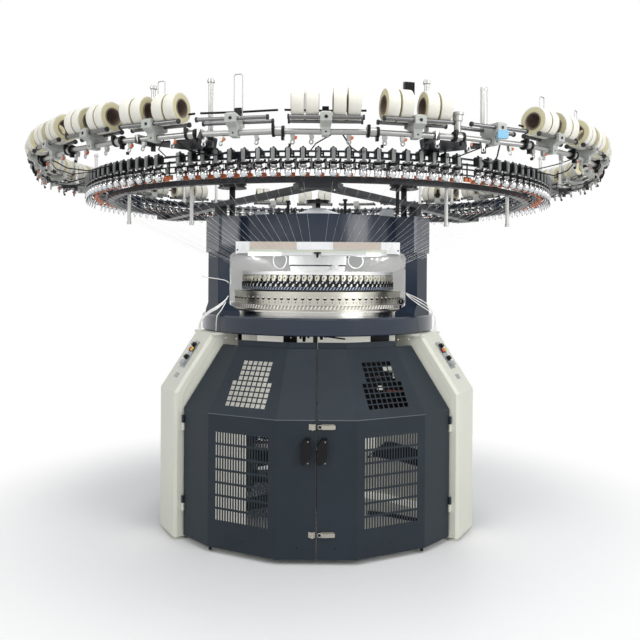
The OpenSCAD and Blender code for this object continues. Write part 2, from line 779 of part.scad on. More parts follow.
module drive_wheels() {
    color("#26282c") for (a = legs) at_az(a) translate([0, -wheel_at, 0]) {
        translate([0, 0, table_top]) cylinder(r = 18, h = wheel_z - table_top + wheel_h + 14, $fn = 32);
        translate([0, 0, wheel_z]) rotate_extrude($fn = 64) polygon([
            [17, 0], [wheel_r, 0], [wheel_r, 6], [wheel_r - 8, 8], [wheel_r - 8, wheel_h - 8],
            [wheel_r, wheel_h - 6], [wheel_r, wheel_h], [17, wheel_h]
        ]);
    }
}

feeder_pitch = 360 / feeder_n;
gap_every = feeder_n / 6;
function is_gap(i) = (i % gap_every) == gap_every / 2;
rail_out = 10;
rail_h = 8;
// Two rails held on the support ring by twelve stays
module feeder_ring() {
    color("#27303f") {
        translate([0, 0, feeder_z]) ring(feeder_r + rail_out, feeder_r - rail_out, rail_h);
        translate([0, 0, feeder_top - rail_h]) ring(feeder_r + rail_out, feeder_r - 2, rail_h);
        for (a = [15 : 30 : 345]) at_az(a) radial_plate(24) polygon([
            [support_r - 15, support_top], [support_r + 15, support_top], [support_r + 15, feeder_z - 14],
            [feeder_r + 6, feeder_z - 14], [feeder_r + 6, feeder_top], [feeder_r - 8, feeder_top],
            [feeder_r - 8, feeder_z + 2], [support_r - 15, feeder_z + 2]
        ]);
    }
}
// A feeder, from the top: clamp block, brake disc, storage wheel and the bulb-shaped spool
feeder_out = rail_out + 17;
module feeder_spools() {
    color("#d8dadb") for (i = [0 : feeder_n - 1]) if (!is_gap(i)) at_az(i * feeder_pitch)
        translate([0, -feeder_r - feeder_out, feeder_z]) {
            translate([-15, -14, -2]) cube([30, feeder_out - rail_out + 14, feeder_h + 10]);
            rotate_extrude($fn = 20) polygon([
                [0, 0], [7, 0], [7, -13], [16, -14], [16, -20], [7, -21], [7, -33], [17, -34], [17, -41],
                [8, -44], [17, -58], [18, -68], [12, -82], [6, -90], [0, -90]
            ]);
        }
}

creel_tube_r = 12;
creel_pitch = 360 / creel_n;
creel_from = 1;
unit_l = 2 * creel_r * tan(creel_pitch / 2);
coupling_r = 19;
coupling_l = 34;
function unit_az(i) = creel_from + i * creel_pitch;
// Straight shafts, one to a roller unit, joined end to end by couplings
module creel_ring() {
    color("#a9acae") for (i = [0 : creel_n - 1]) at_az(unit_az(i)) {
        translate([-unit_l / 2, -creel_r, creel_z]) rotate([0, 90, 0])
            cylinder(r = creel_tube_r, h = unit_l, $fn = 24);
        rotate([0, 0, creel_pitch / 2]) translate([-coupling_l / 2, -creel_r / cos(creel_pitch / 2), creel_z])
            rotate([0, 90, 0]) cylinder(r = coupling_r, h = coupling_l, $fn = 24);
    }
}
// Six flat gusset plates on the upper rail, each with two posts; an arm joins a post to the creel shaft
plate_az = 22.2;
post_spread = 5.3;
post_r = 11;
post_top = 2357;
post_down = 30;
post_at = creel_r - 90;
gusset_z = feeder_top + 16;
gusset_t = 8;
clamp_r = creel_tube_r + 7;
// How far an azimuth lies past the nearest roller unit
function to_unit(a) = a - unit_az(round((a - creel_from) / creel_pitch));
module creel_brackets() {
    color("#2f3236") for (a = [plate_az, 120 - plate_az, 120 + plate_az], s = [-1, 1]) at_az(s * a) {
        translate([0, 0, gusset_z]) linear_extrude(height = gusset_t) polygon([
            [-60, -feeder_r - 8], [-60, 8 - feeder_r], [60, 8 - feeder_r], [60, -feeder_r - 8],
            [175, -post_at + 20], [175, -post_at - 18], [-175, -post_at - 18], [-175, -post_at + 20]
        ]);
        translate([-40, -feeder_r - 8, feeder_top]) cube([80, 12, gusset_z - feeder_top + 1]);
        for (t = [-post_spread, post_spread]) rotate([0, 0, t]) {
            translate([0, -post_at, gusset_z - post_down])
                cylinder(r = post_r, h = post_top - gusset_z + post_down, $fn = 24);
            off = to_unit(s * a + t);
            if (abs(off) > 1.3 && abs(off) < 5.4) difference() {
                translate([-9, -creel_r / cos(off) - clamp_r, creel_z - clamp_r])
                    cube([18, creel_r / cos(off) + clamp_r - post_at, 2 * clamp_r]);
                rotate([0, 0, -off]) translate([-unit_l, -creel_r, creel_z]) rotate([0, 90, 0])
                    cylinder(r = creel_tube_r + seat, h = 2 * unit_l, $fn = 24);
            }
        }
    }
}
// Cast housings: a clamp on the shaft that widens to carry two pairs of rollers
roller_rise = 52;
roller_z = creel_z + roller_rise;
roller_gap = 40;
rod_r = 8.5;
housing_half = 24;
housing_top = roller_rise + 22;
module roller_housings() {
    color("#c9cbc4") for (i = [0 : creel_n - 1]) at_az(unit_az(i)) difference() {
        intersection() {
            translate([0, 0, creel_z]) rotate([90, 0, 0]) linear_extrude(height = creel_r + 80) polygon([
                [-15, -18], [15, -18], [19, 12], [housing_half, 32], [housing_half, housing_top - 6],
                [housing_half - 6, housing_top], [6 - housing_half, housing_top],
                [-housing_half, housing_top - 6], [-housing_half, 32], [-19, 12]
            ]);
            radial_plate(2 * housing_half + 2) translate([creel_r, creel_z]) polygon([
                [-24, -18], [24, -18], [28, 18], [60, 34], [60, housing_top - 8], [52, housing_top],
                [-52, housing_top], [-60, housing_top - 8], [-60, 34], [-28, 18]
            ]);
        }
        translate([-2 * housing_half, -creel_r, creel_z]) rotate([0, 90, 0])
            cylinder(r = creel_tube_r + seat, h = 4 * housing_half, $fn = 24);
    }
}
module rollers() {
    color("#6b6e72") for (i = [0 : creel_n - 1]) at_az(unit_az(i)) for (s = [-1, 1], k = [-1, 1])
        translate([s > 0 ? housing_half : -housing_half - roller_l, -creel_r + k * roller_gap, roller_z])
            rotate([0, 90, 0]) cylinder(r = rod_r, h = roller_l, $fn = 24);
}
bobbin_rise = sqrt(pow(bobbin_r + rod_r, 2) - pow(roller_gap, 2)) + seat;
bobbin_first = housing_half + 5;
empty_units = [2, 6, 9, 12, 13, 16, 19, 27];
function is_empty(i) = len([for (e = empty_units) if (e == i) e]) > 0;
module each_bobbin() {
    for (i = [0 : creel_n - 1]) if (!is_empty(i)) at_az(unit_az(i))
        for (s = [-1, 1], k = [0, 1])
            translate([
                s * (bobbin_first + bobbin_w / 2 + k * (bobbin_w + 6)), -creel_r, roller_z + bobbin_rise
            ]) rotate([0, 90, 0]) children();
}
core_r = 40;
core_t = 5;
module bobbins() {
    color("#f4f2e4") each_bobbin() difference() {
        cylinder(r = bobbin_r, h = bobbin_w, center = true, $fn = 48);
        cylinder(r = core_r, h = bobbin_w + 2, center = true, $fn = 32);
    }
}
module bobbin_cores() {
    color("#6b5646") each_bobbin() difference() {
        cylinder(r = core_r, h = bobbin_w + 2, center = true, $fn = 32);
        cylinder(r = core_r - core_t, h = bobbin_w + 4, center = true, $fn = 32);
    }
}
// Bent wire guides that stand on the inner side of some housings
guide_wire_r = 2.5;
guide_half = 21;
guide_bend = 9;
guide_in = 46;
guide_top = 2355;
guide_units = [3, 4, 11, 18, 26, 27];
module wire_guides() {
    foot = creel_z + housing_top;
    color("#2f3236") for (i = guide_units) at_az(unit_az(i)) translate([0, guide_in - creel_r, 0]) {
        for (s = [-1, 1]) {
            translate([s * (guide_half - guide_wire_r), 0, foot])
                cylinder(r = guide_wire_r, h = guide_top - foot - guide_bend, $fn = 16);
            translate([s * (guide_half - guide_wire_r - guide_bend), 0, guide_top - guide_bend])
                rotate([90, 0, 0]) rotate([0, 0, s > 0 ? 0 : 90]) rotate_extrude(angle = 90, $fn = 48)
                    translate([guide_bend, 0]) circle(r = guide_wire_r, $fn = 16);
        }
        translate([guide_wire_r + guide_bend - guide_half, 0, guide_top]) rotate([0, 90, 0])
            cylinder(r = guide_wire_r, h = 2 * (guide_half - guide_wire_r - guide_bend), $fn = 16);
    }
}

leg_left();
leg_right();
leg_rear();
base_frame();
bed_ring();
guard_left();
guard_right();
door_left();
door_right();
handle_left();
handle_right();
latch_catches();
latch_levers();
control_plate_left();
control_plate_right();
control_buttons();
cam_plate();
cam_ring();
dial_cam_ring();
dial_plate();
dial_support();
dial_cover();
needle_cylinder();
takedown_frame();
takedown_rollers();
take_up_roll();
column_left();
column_right();
column_rear();
table_drum();
light_bar();
shields();
centre_hub();
spider_arms();
support_ring();
drive_wheels();
feeder_ring();
feeder_spools();
creel_ring();
creel_brackets();
roller_housings();
rollers();
bobbins();
bobbin_cores();
wire_guides();
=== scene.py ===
# %% [markdown]
# # A circular knitting machine
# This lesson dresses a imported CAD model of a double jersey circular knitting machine.
# The CAD gives the castings, doors, rings and joints at their real size.
# Blender adds the finish of every surface and the hundreds of small pieces that repeat round the rings:
# yarn feeders, eyelets, spools, couplings, screws and threads.
# Lengths are in metres, +Z is up, and the front of the machine faces -Y.

# %% Load the frame
from math import atan2, cos, pi, radians, sin, tau

import bmesh
import bpy
from mathutils import Matrix, Vector


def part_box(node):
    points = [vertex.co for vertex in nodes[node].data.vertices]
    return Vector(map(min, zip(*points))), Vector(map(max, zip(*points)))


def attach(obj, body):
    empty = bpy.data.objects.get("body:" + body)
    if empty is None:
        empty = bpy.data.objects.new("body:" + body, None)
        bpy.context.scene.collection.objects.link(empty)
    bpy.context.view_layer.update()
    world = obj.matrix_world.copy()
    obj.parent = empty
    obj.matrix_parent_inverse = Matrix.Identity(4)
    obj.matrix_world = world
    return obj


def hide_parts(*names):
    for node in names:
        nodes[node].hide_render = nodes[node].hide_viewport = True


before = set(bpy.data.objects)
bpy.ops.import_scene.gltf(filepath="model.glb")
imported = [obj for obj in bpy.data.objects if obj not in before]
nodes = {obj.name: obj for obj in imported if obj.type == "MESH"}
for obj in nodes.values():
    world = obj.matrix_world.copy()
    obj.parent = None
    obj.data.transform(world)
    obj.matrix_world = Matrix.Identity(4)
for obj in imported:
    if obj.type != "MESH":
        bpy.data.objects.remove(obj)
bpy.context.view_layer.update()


def show(obj):
    """Links an object into the scene."""
    bpy.context.scene.collection.objects.link(obj)
    return obj


# %% [markdown]
# The photograph was taken from 4.6 m in front of the axis, at 1.5 m above the floor, looking level.
# The horizon lies above the middle of the picture, so the lens is shifted down and not tilted:
# that keeps the doors' edges upright.
# A very small roll matches the photographer's hand.

# %% Camera
CAMERA_BACK = 4.58
CAMERA_HEIGHT = 1.5
CAMERA_ROLL = 0.0064
cam_data = bpy.data.cameras.new("camera")
cam_data.sensor_width = 36.0
cam_data.lens = 39.375
cam_data.shift_x = 0.00375
cam_data.shift_y = -0.0675
cam_data.clip_end = 60
camera = show(bpy.data.objects.new("camera", cam_data))
camera.location = (0, -CAMERA_BACK, CAMERA_HEIGHT)
camera.rotation_euler = (pi / 2, -CAMERA_ROLL, 0)
bpy.context.scene.camera = camera
bpy.context.scene.view_settings.view_transform = "Standard"

# %% [markdown]
# Broad, soft lamps light the machine: two from the front, one from above, and one from behind for the rim
# of the rings. Two small ones sit under the light bar.
# The world is plain white to the camera and to mirrors, so that chrome shows a pale room,
# but it lights the object at a modest level.

# %% Lamps, world and floor
def area_lamp(name, place, aim, size, power):
    data = bpy.data.lights.new(name, "AREA")
    data.shape = "RECTANGLE"
    data.size, data.size_y = size
    data.energy = power
    lamp = show(bpy.data.objects.new(name, data))
    lamp.location = place
    lamp.rotation_euler = (Vector(aim) - Vector(place)).to_track_quat("-Z", "Y").to_euler()


area_lamp("lamp_front_left", (-3.6, -4.2, 3.6), (0, 0, 1.1), (3.0, 2.2), 82)
area_lamp("lamp_front_right", (3.8, -3.8, 2.8), (0, 0, 1.0), (2.4, 2.4), 105)
area_lamp("lamp_above", (0.4, -2.7, 5.2), (0, -0.3, 1.4), (4.5, 3.6), 130)
area_lamp("lamp_behind", (0.5, 4.6, 3.4), (0, 0, 1.6), (4.0, 2.0), 80)
for x in (-0.29, 0.31):
    area_lamp("lamp_bar", (x, -0.64, 1.612), (x * 0.8, -0.3, 1.45), (0.16, 0.02), 0.8)


def add(tree, kind, values=None, **settings):
    """A new node with its properties set, and the values of its sockets given by name."""
    made = tree.nodes.new(kind)
    for key, value in settings.items():
        setattr(made, key, value)
    for key, value in (values or {}).items():
        made.inputs[key].default_value = value
    return made


def white_to_camera(tree, shader, white):
    """Mixes a shader with plain white for camera, mirror and glass rays."""
    link = tree.links.new
    path = add(tree, "ShaderNodeLightPath")
    seen = path.outputs["Is Camera Ray"]
    for ray in ("Is Glossy Ray", "Is Transmission Ray"):
        larger = add(tree, "ShaderNodeMath", operation="MAXIMUM")
        link(seen, larger.inputs[0])
        link(path.outputs[ray], larger.inputs[1])
        seen = larger.outputs[0]
    mix = add(tree, "ShaderNodeMixShader")
    for socket, source in zip(mix.inputs, (seen, shader.outputs[0], white.outputs[0])):
        link(source, socket)
    return mix


world = bpy.data.worlds.new("hall")
bpy.context.scene.world = world
world.use_nodes = True
sky = world.node_tree
sky.nodes.clear()
dim = add(sky, "ShaderNodeBackground", {"Color": (0.93, 0.96, 1.0, 1), "Strength": 0.38})
bright = add(sky, "ShaderNodeBackground", {"Color": (1, 1, 1, 1), "Strength": 1.0})
sky.links.new(white_to_camera(sky, dim, bright).outputs[0], add(sky, "ShaderNodeOutputWorld").inputs[0])

FLOOR = 14.0
floor_corners = [(-FLOOR, -FLOOR, 0), (FLOOR, -FLOOR, 0), (FLOOR, FLOOR, 0), (-FLOOR, FLOOR, 0)]
floor_mesh = bpy.data.meshes.new("floor")
floor_mesh.from_pydata(floor_corners, [], [(0, 1, 2, 3)])
floor = show(bpy.data.objects.new("floor", floor_mesh))

# %% [markdown]
# Most finishes on the machine are a real process: cast iron filled, sanded and sprayed gloss navy, sheet
# steel with a powder coat that leaves a fine orange peel, turned and ground steel with lathe lines,
# castings, chrome. A few colours stand for light instead: painted shade and painted highlights. One helper
# lays the shared groundwork: a Principled shader with a slow drift of colour,
# patchy roughness and a fine bump, all from noise on Object coordinates, at sizes given in metres.
# Constant values go straight on the shader's sockets.

# %% A finish from noise
def finish(name, color, metallic=0.0, rough=0.4, drift=0.12, patch=0.3, patch_size=0.25, grain=0.001,
           bump=0.1, coat=0.0, specular=0.5):
    """A procedural material: drift varies the colour, patch the roughness, and grain is the bump's size."""
    m = bpy.data.materials.new(name)
    m.use_nodes = True
    tree = m.node_tree
    link = tree.links.new
    shader = tree.nodes["Principled BSDF"].inputs
    for key, value in (("Metallic", metallic), ("Specular IOR Level", specular), ("Coat Weight", coat),
                       ("Coat Roughness", 0.08)):
        shader[key].default_value = value
    place = add(tree, "ShaderNodeTexCoord").outputs["Object"]
    slow = add(tree, "ShaderNodeTexNoise", {"Scale": 1.0 / patch_size, "Detail": 5.0})
    dark = (*[c * (1 - drift) for c in color], 1)
    light = (*[min(1.0, c * (1 + drift)) for c in color], 1)
    tint = add(tree, "ShaderNodeMix", {"A": dark, "B": light}, data_type="RGBA")
    spread = add(tree, "ShaderNodeMapRange",
                 {"To Min": rough * (1 - patch), "To Max": min(1.0, rough * (1 + patch))})
    link(place, slow.inputs["Vector"])
    link(slow.outputs["Fac"], tint.inputs["Factor"])
    link(slow.outputs["Fac"], spread.inputs["Value"])
    link(tint.outputs["Result"], shader["Base Color"])
    link(spread.outputs["Result"], shader["Roughness"])
    add_relief(tree, place, grain, 2.0, bump)
    return m


def add_relief(tree, place, size, detail, strength):
    """A bump from noise: size is its grain in metres."""
    fine = add(tree, "ShaderNodeTexNoise", {"Scale": 1.0 / size, "Detail": detail})
    relief = add(tree, "ShaderNodeBump", {"Strength": strength, "Distance": size})
    tree.links.new(place, fine.inputs["Vector"])
    tree.links.new(fine.outputs["Fac"], relief.inputs["Height"])
    tree.links.new(relief.outputs["Normal"], tree.nodes["Principled BSDF"].inputs["Normal"])


# %% [markdown]
# Turned parts show fine rings where the lathe tool passed.
# Their pattern depends only on the distance from the machine's axis and on the height, so the Object
# position is turned into (radius, height) before it reaches the noise.
# The same lines run round every ring of the head, whatever the angle.

# %% A turned finish
def turned(name, color, rough=0.25, line=0.0016):
    m = finish(name, color, metallic=1.0, rough=rough, drift=0.1, bump=0.0, grain=0.002)
    tree = m.node_tree
    link = tree.links.new
    split = add(tree, "ShaderNodeSeparateXYZ")
    flat, rings = add(tree, "ShaderNodeCombineXYZ"), add(tree, "ShaderNodeCombineXYZ")
    radius = add(tree, "ShaderNodeVectorMath", operation="LENGTH")
    link(add(tree, "ShaderNodeTexCoord").outputs["Object"], split.inputs[0])
    link(split.outputs["X"], flat.inputs["X"])
    link(split.outputs["Y"], flat.inputs["Y"])
    link(flat.outputs[0], radius.inputs[0])
    link(radius.outputs["Value"], rings.inputs["X"])
    link(split.outputs["Z"], rings.inputs["Z"])
    add_relief(tree, rings.outputs[0], line, 3.0, 0.15)
    return m


# %% [markdown]
# The table lists every finish once, and the pieces ask for it by its short name.

# %% The machine's finishes
MAT = {
    "navy": finish("navy_gloss", (0.014, 0.023, 0.042), rough=0.2, drift=0.3, patch=0.35, grain=0.004,
                   coat=0.2, specular=0.4),
    "navy_matt": finish("navy_casting", (0.012, 0.02, 0.037), rough=0.35, drift=0.3, grain=0.004,
                        bump=0.15, specular=0.16),
    "slate": finish("slate_powder_coat", (0.018, 0.026, 0.034), drift=0.25, patch=0.2, grain=0.0012,
                    bump=0.22, specular=0.21),
    "cream": finish("cream_powder_coat", (0.66, 0.66, 0.575), rough=0.38, drift=0.05, patch=0.2,
                    grain=0.0012, bump=0.2),
    "dark": finish("dark_frame_paint", (0.02, 0.022, 0.026), specular=0.4, drift=0.25, grain=0.002,
                   bump=0.15),
    "black": finish("black_moulded_plastic", (0.005, 0.005, 0.006), drift=0.2, grain=0.0008, bump=0.2,
                    specular=0.2),
    "stainless": finish("stainless_pressing", (0.42, 0.4, 0.35), metallic=1.0, rough=0.24, grain=0.0009,
                        bump=0.2),
    "chrome": finish("hard_chrome", (0.66, 0.67, 0.68), metallic=1.0, rough=0.12, drift=0.06, grain=0.003,
                     bump=0.04),
    "dark_chrome": finish("dark_roller_chrome", (0.17, 0.17, 0.17), metallic=0.9, rough=0.26, grain=0.002,
                          bump=0.06),
    "plate": turned("ground_steel_plate", (0.7, 0.69, 0.645), rough=0.25),
    "cam": turned("cam_steel", (0.52, 0.505, 0.445), rough=0.32, line=0.003),
    "steel": turned("turned_steel", (0.58, 0.58, 0.57), rough=0.28),
    "shaft": finish("drawn_steel_shaft", (0.36, 0.36, 0.35), metallic=0.8, rough=0.3, bump=0.08),
    "post": finish("bright_post", (0.52, 0.52, 0.5), metallic=0.35, rough=0.35),
    "inner": finish("inner_cover_paint", (0.72, 0.71, 0.63), rough=0.5, drift=0.25, patch_size=0.08,
                    bump=0.15),
    # The cream of the inner covers at about half brightness: painted shade on the covers that lie deeper in
    # the cabinet.
    "inner_shaded": finish("inner_cover_painted_shade", (0.36, 0.36, 0.3), rough=0.5, drift=0.4, patch_size=0.05,
                         bump=0.15),
    "casting": finish("aluminium_casting", (0.22, 0.23, 0.24), metallic=0.55, rough=0.45, grain=0.0016,
                      bump=0.35),
    "housing": finish("roller_housing_paint", (0.4, 0.41, 0.38), drift=0.08, grain=0.0015, bump=0.25),
    "plate_grey": finish("control_plate_grey", (0.34, 0.36, 0.37), metallic=0.7, rough=0.35, bump=0.15),
    "red": finish("red_button_plastic", (0.5, 0.02, 0.015), rough=0.25, drift=0.1, grain=0.002, bump=0.03,
                  coat=0.3),
    "white": finish("white_enamel", (0.8, 0.8, 0.79), rough=0.3, drift=0.04, grain=0.002),
    "ceramic": finish("cream_ceramic", (0.74, 0.71, 0.6), rough=0.25, drift=0.3, patch_size=0.02,
                      bump=0.05),
    "lamp": finish("lamp_diffuser", (0.85, 0.86, 0.86), rough=0.5, drift=0.02, grain=0.002, bump=0.05),
    "yarn": finish("wound_yarn", (0.74, 0.72, 0.64), rough=0.75, drift=0.05, grain=0.0007, bump=0.4),
    "card": finish("brown_card", (0.2, 0.15, 0.12), rough=0.8, drift=0.2, bump=0.3),
    "shield": finish("grey_acrylic", (0.92, 0.93, 0.91), rough=0.12, drift=0.05, grain=0.01, bump=0.02),
    "feeder_grey": finish("feeder_arm_grey", (0.3, 0.31, 0.31), metallic=0.5, bump=0.2),
    "spool_metal": finish("satin_disc_steel", (0.27, 0.27, 0.27), metallic=1.0, rough=0.25),
    "orange": finish("orange_plastic", (0.5, 0.115, 0.025), rough=0.38, drift=0.15),
    "wound_side": finish("wound_yarn_side", (0.58, 0.54, 0.34), rough=0.8, drift=0.14, grain=0.0008,
                         bump=0.5),
    # Brass for the shield clips and the cam seams; the same colour serves as painted shade in the gaps
    # between the yarn guides.
    "brass_and_gap_shade": finish("brass_and_painted_gap_shade", (0.32, 0.27, 0.18), metallic=0.5, rough=0.45, bump=0.2),
    "pale_blue": finish("pale_blue_enamel", (0.33, 0.38, 0.45), rough=0.35),
    "thread": finish("white_thread", (0.86, 0.86, 0.84), rough=0.6, drift=0.03, grain=0.0006, bump=0.2),
    "tan": finish("tan_label_plate", (0.6, 0.52, 0.45), metallic=0.2, rough=0.35, drift=0.08),
    "glow": finish("lit_lamp_lens", (0.95, 0.95, 0.95), rough=0.3, drift=0.02, bump=0.05),
    "yellow": finish("yellow_plastic", (0.75, 0.5, 0.04), rough=0.35, drift=0.1),
    "sky": finish("light_blue_plastic", (0.25, 0.5, 0.68), rough=0.35, drift=0.08),
    "glass_edge": finish("green_glass_edge", (0.72, 0.77, 0.58), rough=0.2, drift=0.05, grain=0.002,
                         bump=0.03),
    # Slate lightened to stand for the highlight along the rolled shoulder edge: painted highlight.
    "slate_edge_highlight": finish("slate_edge_painted_highlight", (0.1, 0.115, 0.135), rough=0.35),
    "rubber": finish("black_rubber", (0.012, 0.012, 0.013), rough=0.65, drift=0.2, bump=0.3),
    "floor": finish("pale_floor", (0.84, 0.84, 0.84), rough=0.6, drift=0.02, patch_size=1.5, grain=0.01,
                    bump=0.02),
}
# The lamps don't reach far behind the leaves and the clear pieces; a faint glow stands for the room's light
WHITE, WARM = (1, 1, 1, 1), (1.0, 0.98, 0.9, 1)
for key, glow, tint in (("shield", 0.14, WHITE), ("glow", 0.8, WHITE), ("inner", 0.36, WARM),
                        ("inner_shaded", 0.14, WARM)):
    sockets = MAT[key].node_tree.nodes["Principled BSDF"].inputs
    sockets["Emission Color"].default_value = tint
    sockets["Emission Strength"].default_value = glow
MAT["shield"].node_tree.nodes["Principled BSDF"].inputs["Alpha"].default_value = 0.68

# %% [markdown]
# The floor keeps the object's shadow near the machine and fades to plain white further out, for the
# camera, for mirrors and for glass, so that no horizon shows behind the machine.

# %% A floor that fades to white
FADE_FROM, FADE_TO = 1.3, 2.6
tree = MAT["floor"].node_tree
link = tree.links.new
surface = tree.nodes["Principled BSDF"]
distance = add(tree, "ShaderNodeVectorMath", operation="LENGTH")
fade = add(tree, "ShaderNodeMapRange", {"From Min": FADE_FROM, "From Max": FADE_TO},
           interpolation_type="SMOOTHSTEP")
plain = add(tree, "ShaderNodeEmission", {"Color": WHITE})
both = add(tree, "ShaderNodeMixShader")
link(add(tree, "ShaderNodeTexCoord").outputs["Object"], distance.inputs[0])
link(distance.outputs["Value"], fade.inputs["Value"])
link(fade.outputs["Result"], both.inputs[0])
link(surface.outputs[0], both.inputs[1])
link(white_to_camera(tree, surface, plain).outputs[0], both.inputs[2])
link(both.outputs[0], tree.nodes["Material Output"].inputs["Surface"])
floor_mesh.materials.append(MAT["floor"])

# %% [markdown]
# Each node of the CAD gets one finish.
# The brackets get two: their plates are painted and their posts are bright.

# %% Every node gets its finish
NODE_FINISH = {
    "cream": ("leg_left", "leg_right", "leg_rear"),
    "navy": ("bed_ring", "table_drum", "dial_cam_ring", "dial_support", "feeder_ring"),
    "navy_matt": ("column_left", "column_right", "column_rear"),
    "slate": ("door_left", "door_right", "guard_left", "guard_right"),
    "dark": ("base_frame", "takedown_frame", "spider_arms", "support_ring", "creel_brackets"),
    "black": ("handle_left", "handle_right", "drive_wheels"),
    "stainless": ("latch_catches", "latch_levers"),
    "plate_grey": ("control_plate_left", "control_plate_right"),
    "red": ("control_buttons",),
    "plate": ("cam_plate",),
    "cam": ("cam_ring",),
    "steel": ("dial_plate", "needle_cylinder", "takedown_rollers", "take_up_roll"),
    "white": ("dial_cover",),
    "lamp": ("light_bar",),
    "shield": ("shields",),
    "casting": ("centre_hub",),
    "shaft": ("creel_ring", "wire_guides"),
    "housing": ("roller_housings",),
    "dark_chrome": ("rollers",),
    "chrome": ("feeder_spools",),
    "yarn": ("bobbins",),
    "card": ("bobbin_cores",),
}
for key, names in NODE_FINISH.items():
    for node_name in names:
        mesh = nodes[node_name].data
        mesh.materials.clear()
        mesh.materials.append(MAT[key])

# The brackets' faces above their plates belong to the posts
PLATE_TOP = 2.1
brackets = nodes["creel_brackets"].data
brackets.materials.append(MAT["post"])
for face in brackets.polygons:
    face.material_index = int(face.center.z > PLATE_TOP)
left_over = sorted(set(nodes) - {n for names in NODE_FINISH.values() for n in names})
print("nodes with no finish:", left_over)

# %% [markdown]
# The small pieces are drawn with a handful of plain operations: a block, a bar with an outline, a turned
# part, a bent rod.
# The `Shape` class collects them in one mesh.
# Edges sharper than 35 degrees stay sharp and the rest shades smooth.

# %% A small kit of shapes
class Shape:
    def __init__(self):
        self.bm = bmesh.new()

    def block(self, low, high, turn=None):
        """A block between two corners; turn is a matrix laid about the block's middle."""
        middle = (Vector(low) + Vector(high)) / 2
        size = Vector(high) - Vector(low)
        place = Matrix.Translation(middle) @ (turn or Matrix()) @ Matrix.Diagonal((*size, 1))
        bmesh.ops.create_cube(self.bm, size=1.0, matrix=place)
        return self

    def outline(self, points, thick, place):
        """A flat outline in x and z, made thick along y, then moved by place."""
        near = [self.bm.verts.new(place @ Vector((x, -thick / 2, z))) for x, z in points]
        far = [self.bm.verts.new(place @ Vector((x, thick / 2, z))) for x, z in points]
        self.bm.faces.new(near)
        self.bm.faces.new(reversed(far))
        for i in range(len(points)):
            j = (i + 1) % len(points)
            self.bm.faces.new((near[j], near[i], far[i], far[j]))
        return self

    def lathe(self, profile, place=Matrix(), sides=16, closed=False):
        """A profile of (radius, height) turned about the local z axis."""
        rows = []
        for radius, height in profile:
            if radius < 1e-6:
                rows.append([self.bm.verts.new(place @ Vector((0, 0, height)))])
                continue
            rows.append([self.bm.verts.new(place @ Vector((radius * cos(a), radius * sin(a), height)))
                         for a in circle(sides)])
        pairs = list(zip(rows, rows[1:]))
        if closed:
            pairs.append((rows[-1], rows[0]))
        for a, b in pairs:
            for k in range(sides):
                corners = [a[k % len(a)], a[(k + 1) % len(a)], b[(k + 1) % len(b)], b[k % len(b)]]
                self.bm.faces.new(dict.fromkeys(corners))
        return self

    def head(self, place, high, top, rim, low=0, foot=0, sides=10):
        """A screw or button head: of radius top at the height high, and of radius rim at the height low."""
        return self.lathe([(0, high), (top, high), (rim, low), (0, foot)], place, sides)

    def rod(self, points, radius, sides=8, loop=False):
        """A round bar bent along a list of points."""
        path = [Vector(p) for p in points]
        rows = []
        side = None
        for i, p in enumerate(path):
            before = path[i - 1] if i or loop else p
            after = path[(i + 1) % len(path)] if i + 1 < len(path) or loop else p
            along = (after - before).normalized()
            if side is None:
                side = along.orthogonal().normalized()
            side = (side - along * side.dot(along)).normalized()
            up = along.cross(side)
            rows.append([self.bm.verts.new(p + radius * (cos(a) * side + sin(a) * up))
                         for a in circle(sides)])
        joints = list(zip(rows, rows[1:])) + ([(rows[-1], rows[0])] if loop else [])
        for a, b in joints:
            for k in range(sides):
                self.bm.faces.new((a[k], a[(k + 1) % sides], b[(k + 1) % sides], b[k]))
        if not loop:
            self.bm.faces.new(reversed(rows[0]))
            self.bm.faces.new(rows[-1])
        return self

    def mesh(self, name):
        bmesh.ops.recalc_face_normals(self.bm, faces=self.bm.faces)
        mesh = bpy.data.meshes.new(name)
        self.bm.to_mesh(mesh)
        self.bm.free()
        for face in mesh.polygons:
            face.use_smooth = True
        mesh.set_sharp_from_angle(angle=radians(35))
        return mesh

    def piece(self, name, finish_name, body="frame", instead_of=()):
        """The finished piece, dressed and carried by a body of the frame."""
        mesh = self.mesh(name)
        mesh.materials.append(MAT[finish_name])
        carry(name, mesh, body, instead_of)


def carry(name, mesh, body, instead_of):
    """Puts a mesh in the scene as a piece that rides on a body and stands in for the nodes it replaces."""
    obj = show(bpy.data.objects.new(name, mesh))
    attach(obj, body)
    if instead_of:
        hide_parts(*instead_of)


def circle(steps):
    """Evenly spaced angles, once round."""
    return [tau * k / steps for k in range(steps)]


def rect(x0, x1, z0, z1):
    """The corners of a rectangle, for an outline."""
    return [(x0, z0), (x1, z0), (x1, z1), (x0, z1)]


def move(x, y, z):
    return Matrix.Translation((x, y, z))


def front(radius, z=0):
    """Places a piece at the machine's front, at a distance from its axis."""
    return move(0, -radius, z)


def along_x(x, y, z):
    """Places a turned part with its axis along x."""
    return move(x, y, z) @ Matrix.Rotation(pi / 2, 4, "Y")


def along_y(x, y, z):
    """Places a turned part with its axis along -y, towards the viewer."""
    return move(x, y, z) @ Matrix.Rotation(pi / 2, 4, "X")


def at_az(degrees):
    """Turns what is drawn at the front to an azimuth; positive is towards +X."""
    return Matrix.Rotation(radians(degrees), 4, "Z")


def polar(degrees, radius, z):
    a = radians(degrees)
    return Vector((radius * sin(a), -radius * cos(a), z))


# %% [markdown]
# Most of the machine repeats round its axis: feeders, eyelets, cam screws, bobbins.
# One Geometry Nodes tree does all of it.
# The host mesh is a set of points on the axis, each with an `azimuth`.
# The tree puts one copy of a template on each point, turned by that azimuth and a small seeded wobble.
# The copies are realized and dressed, the result becomes a plain mesh, and the modifier goes.

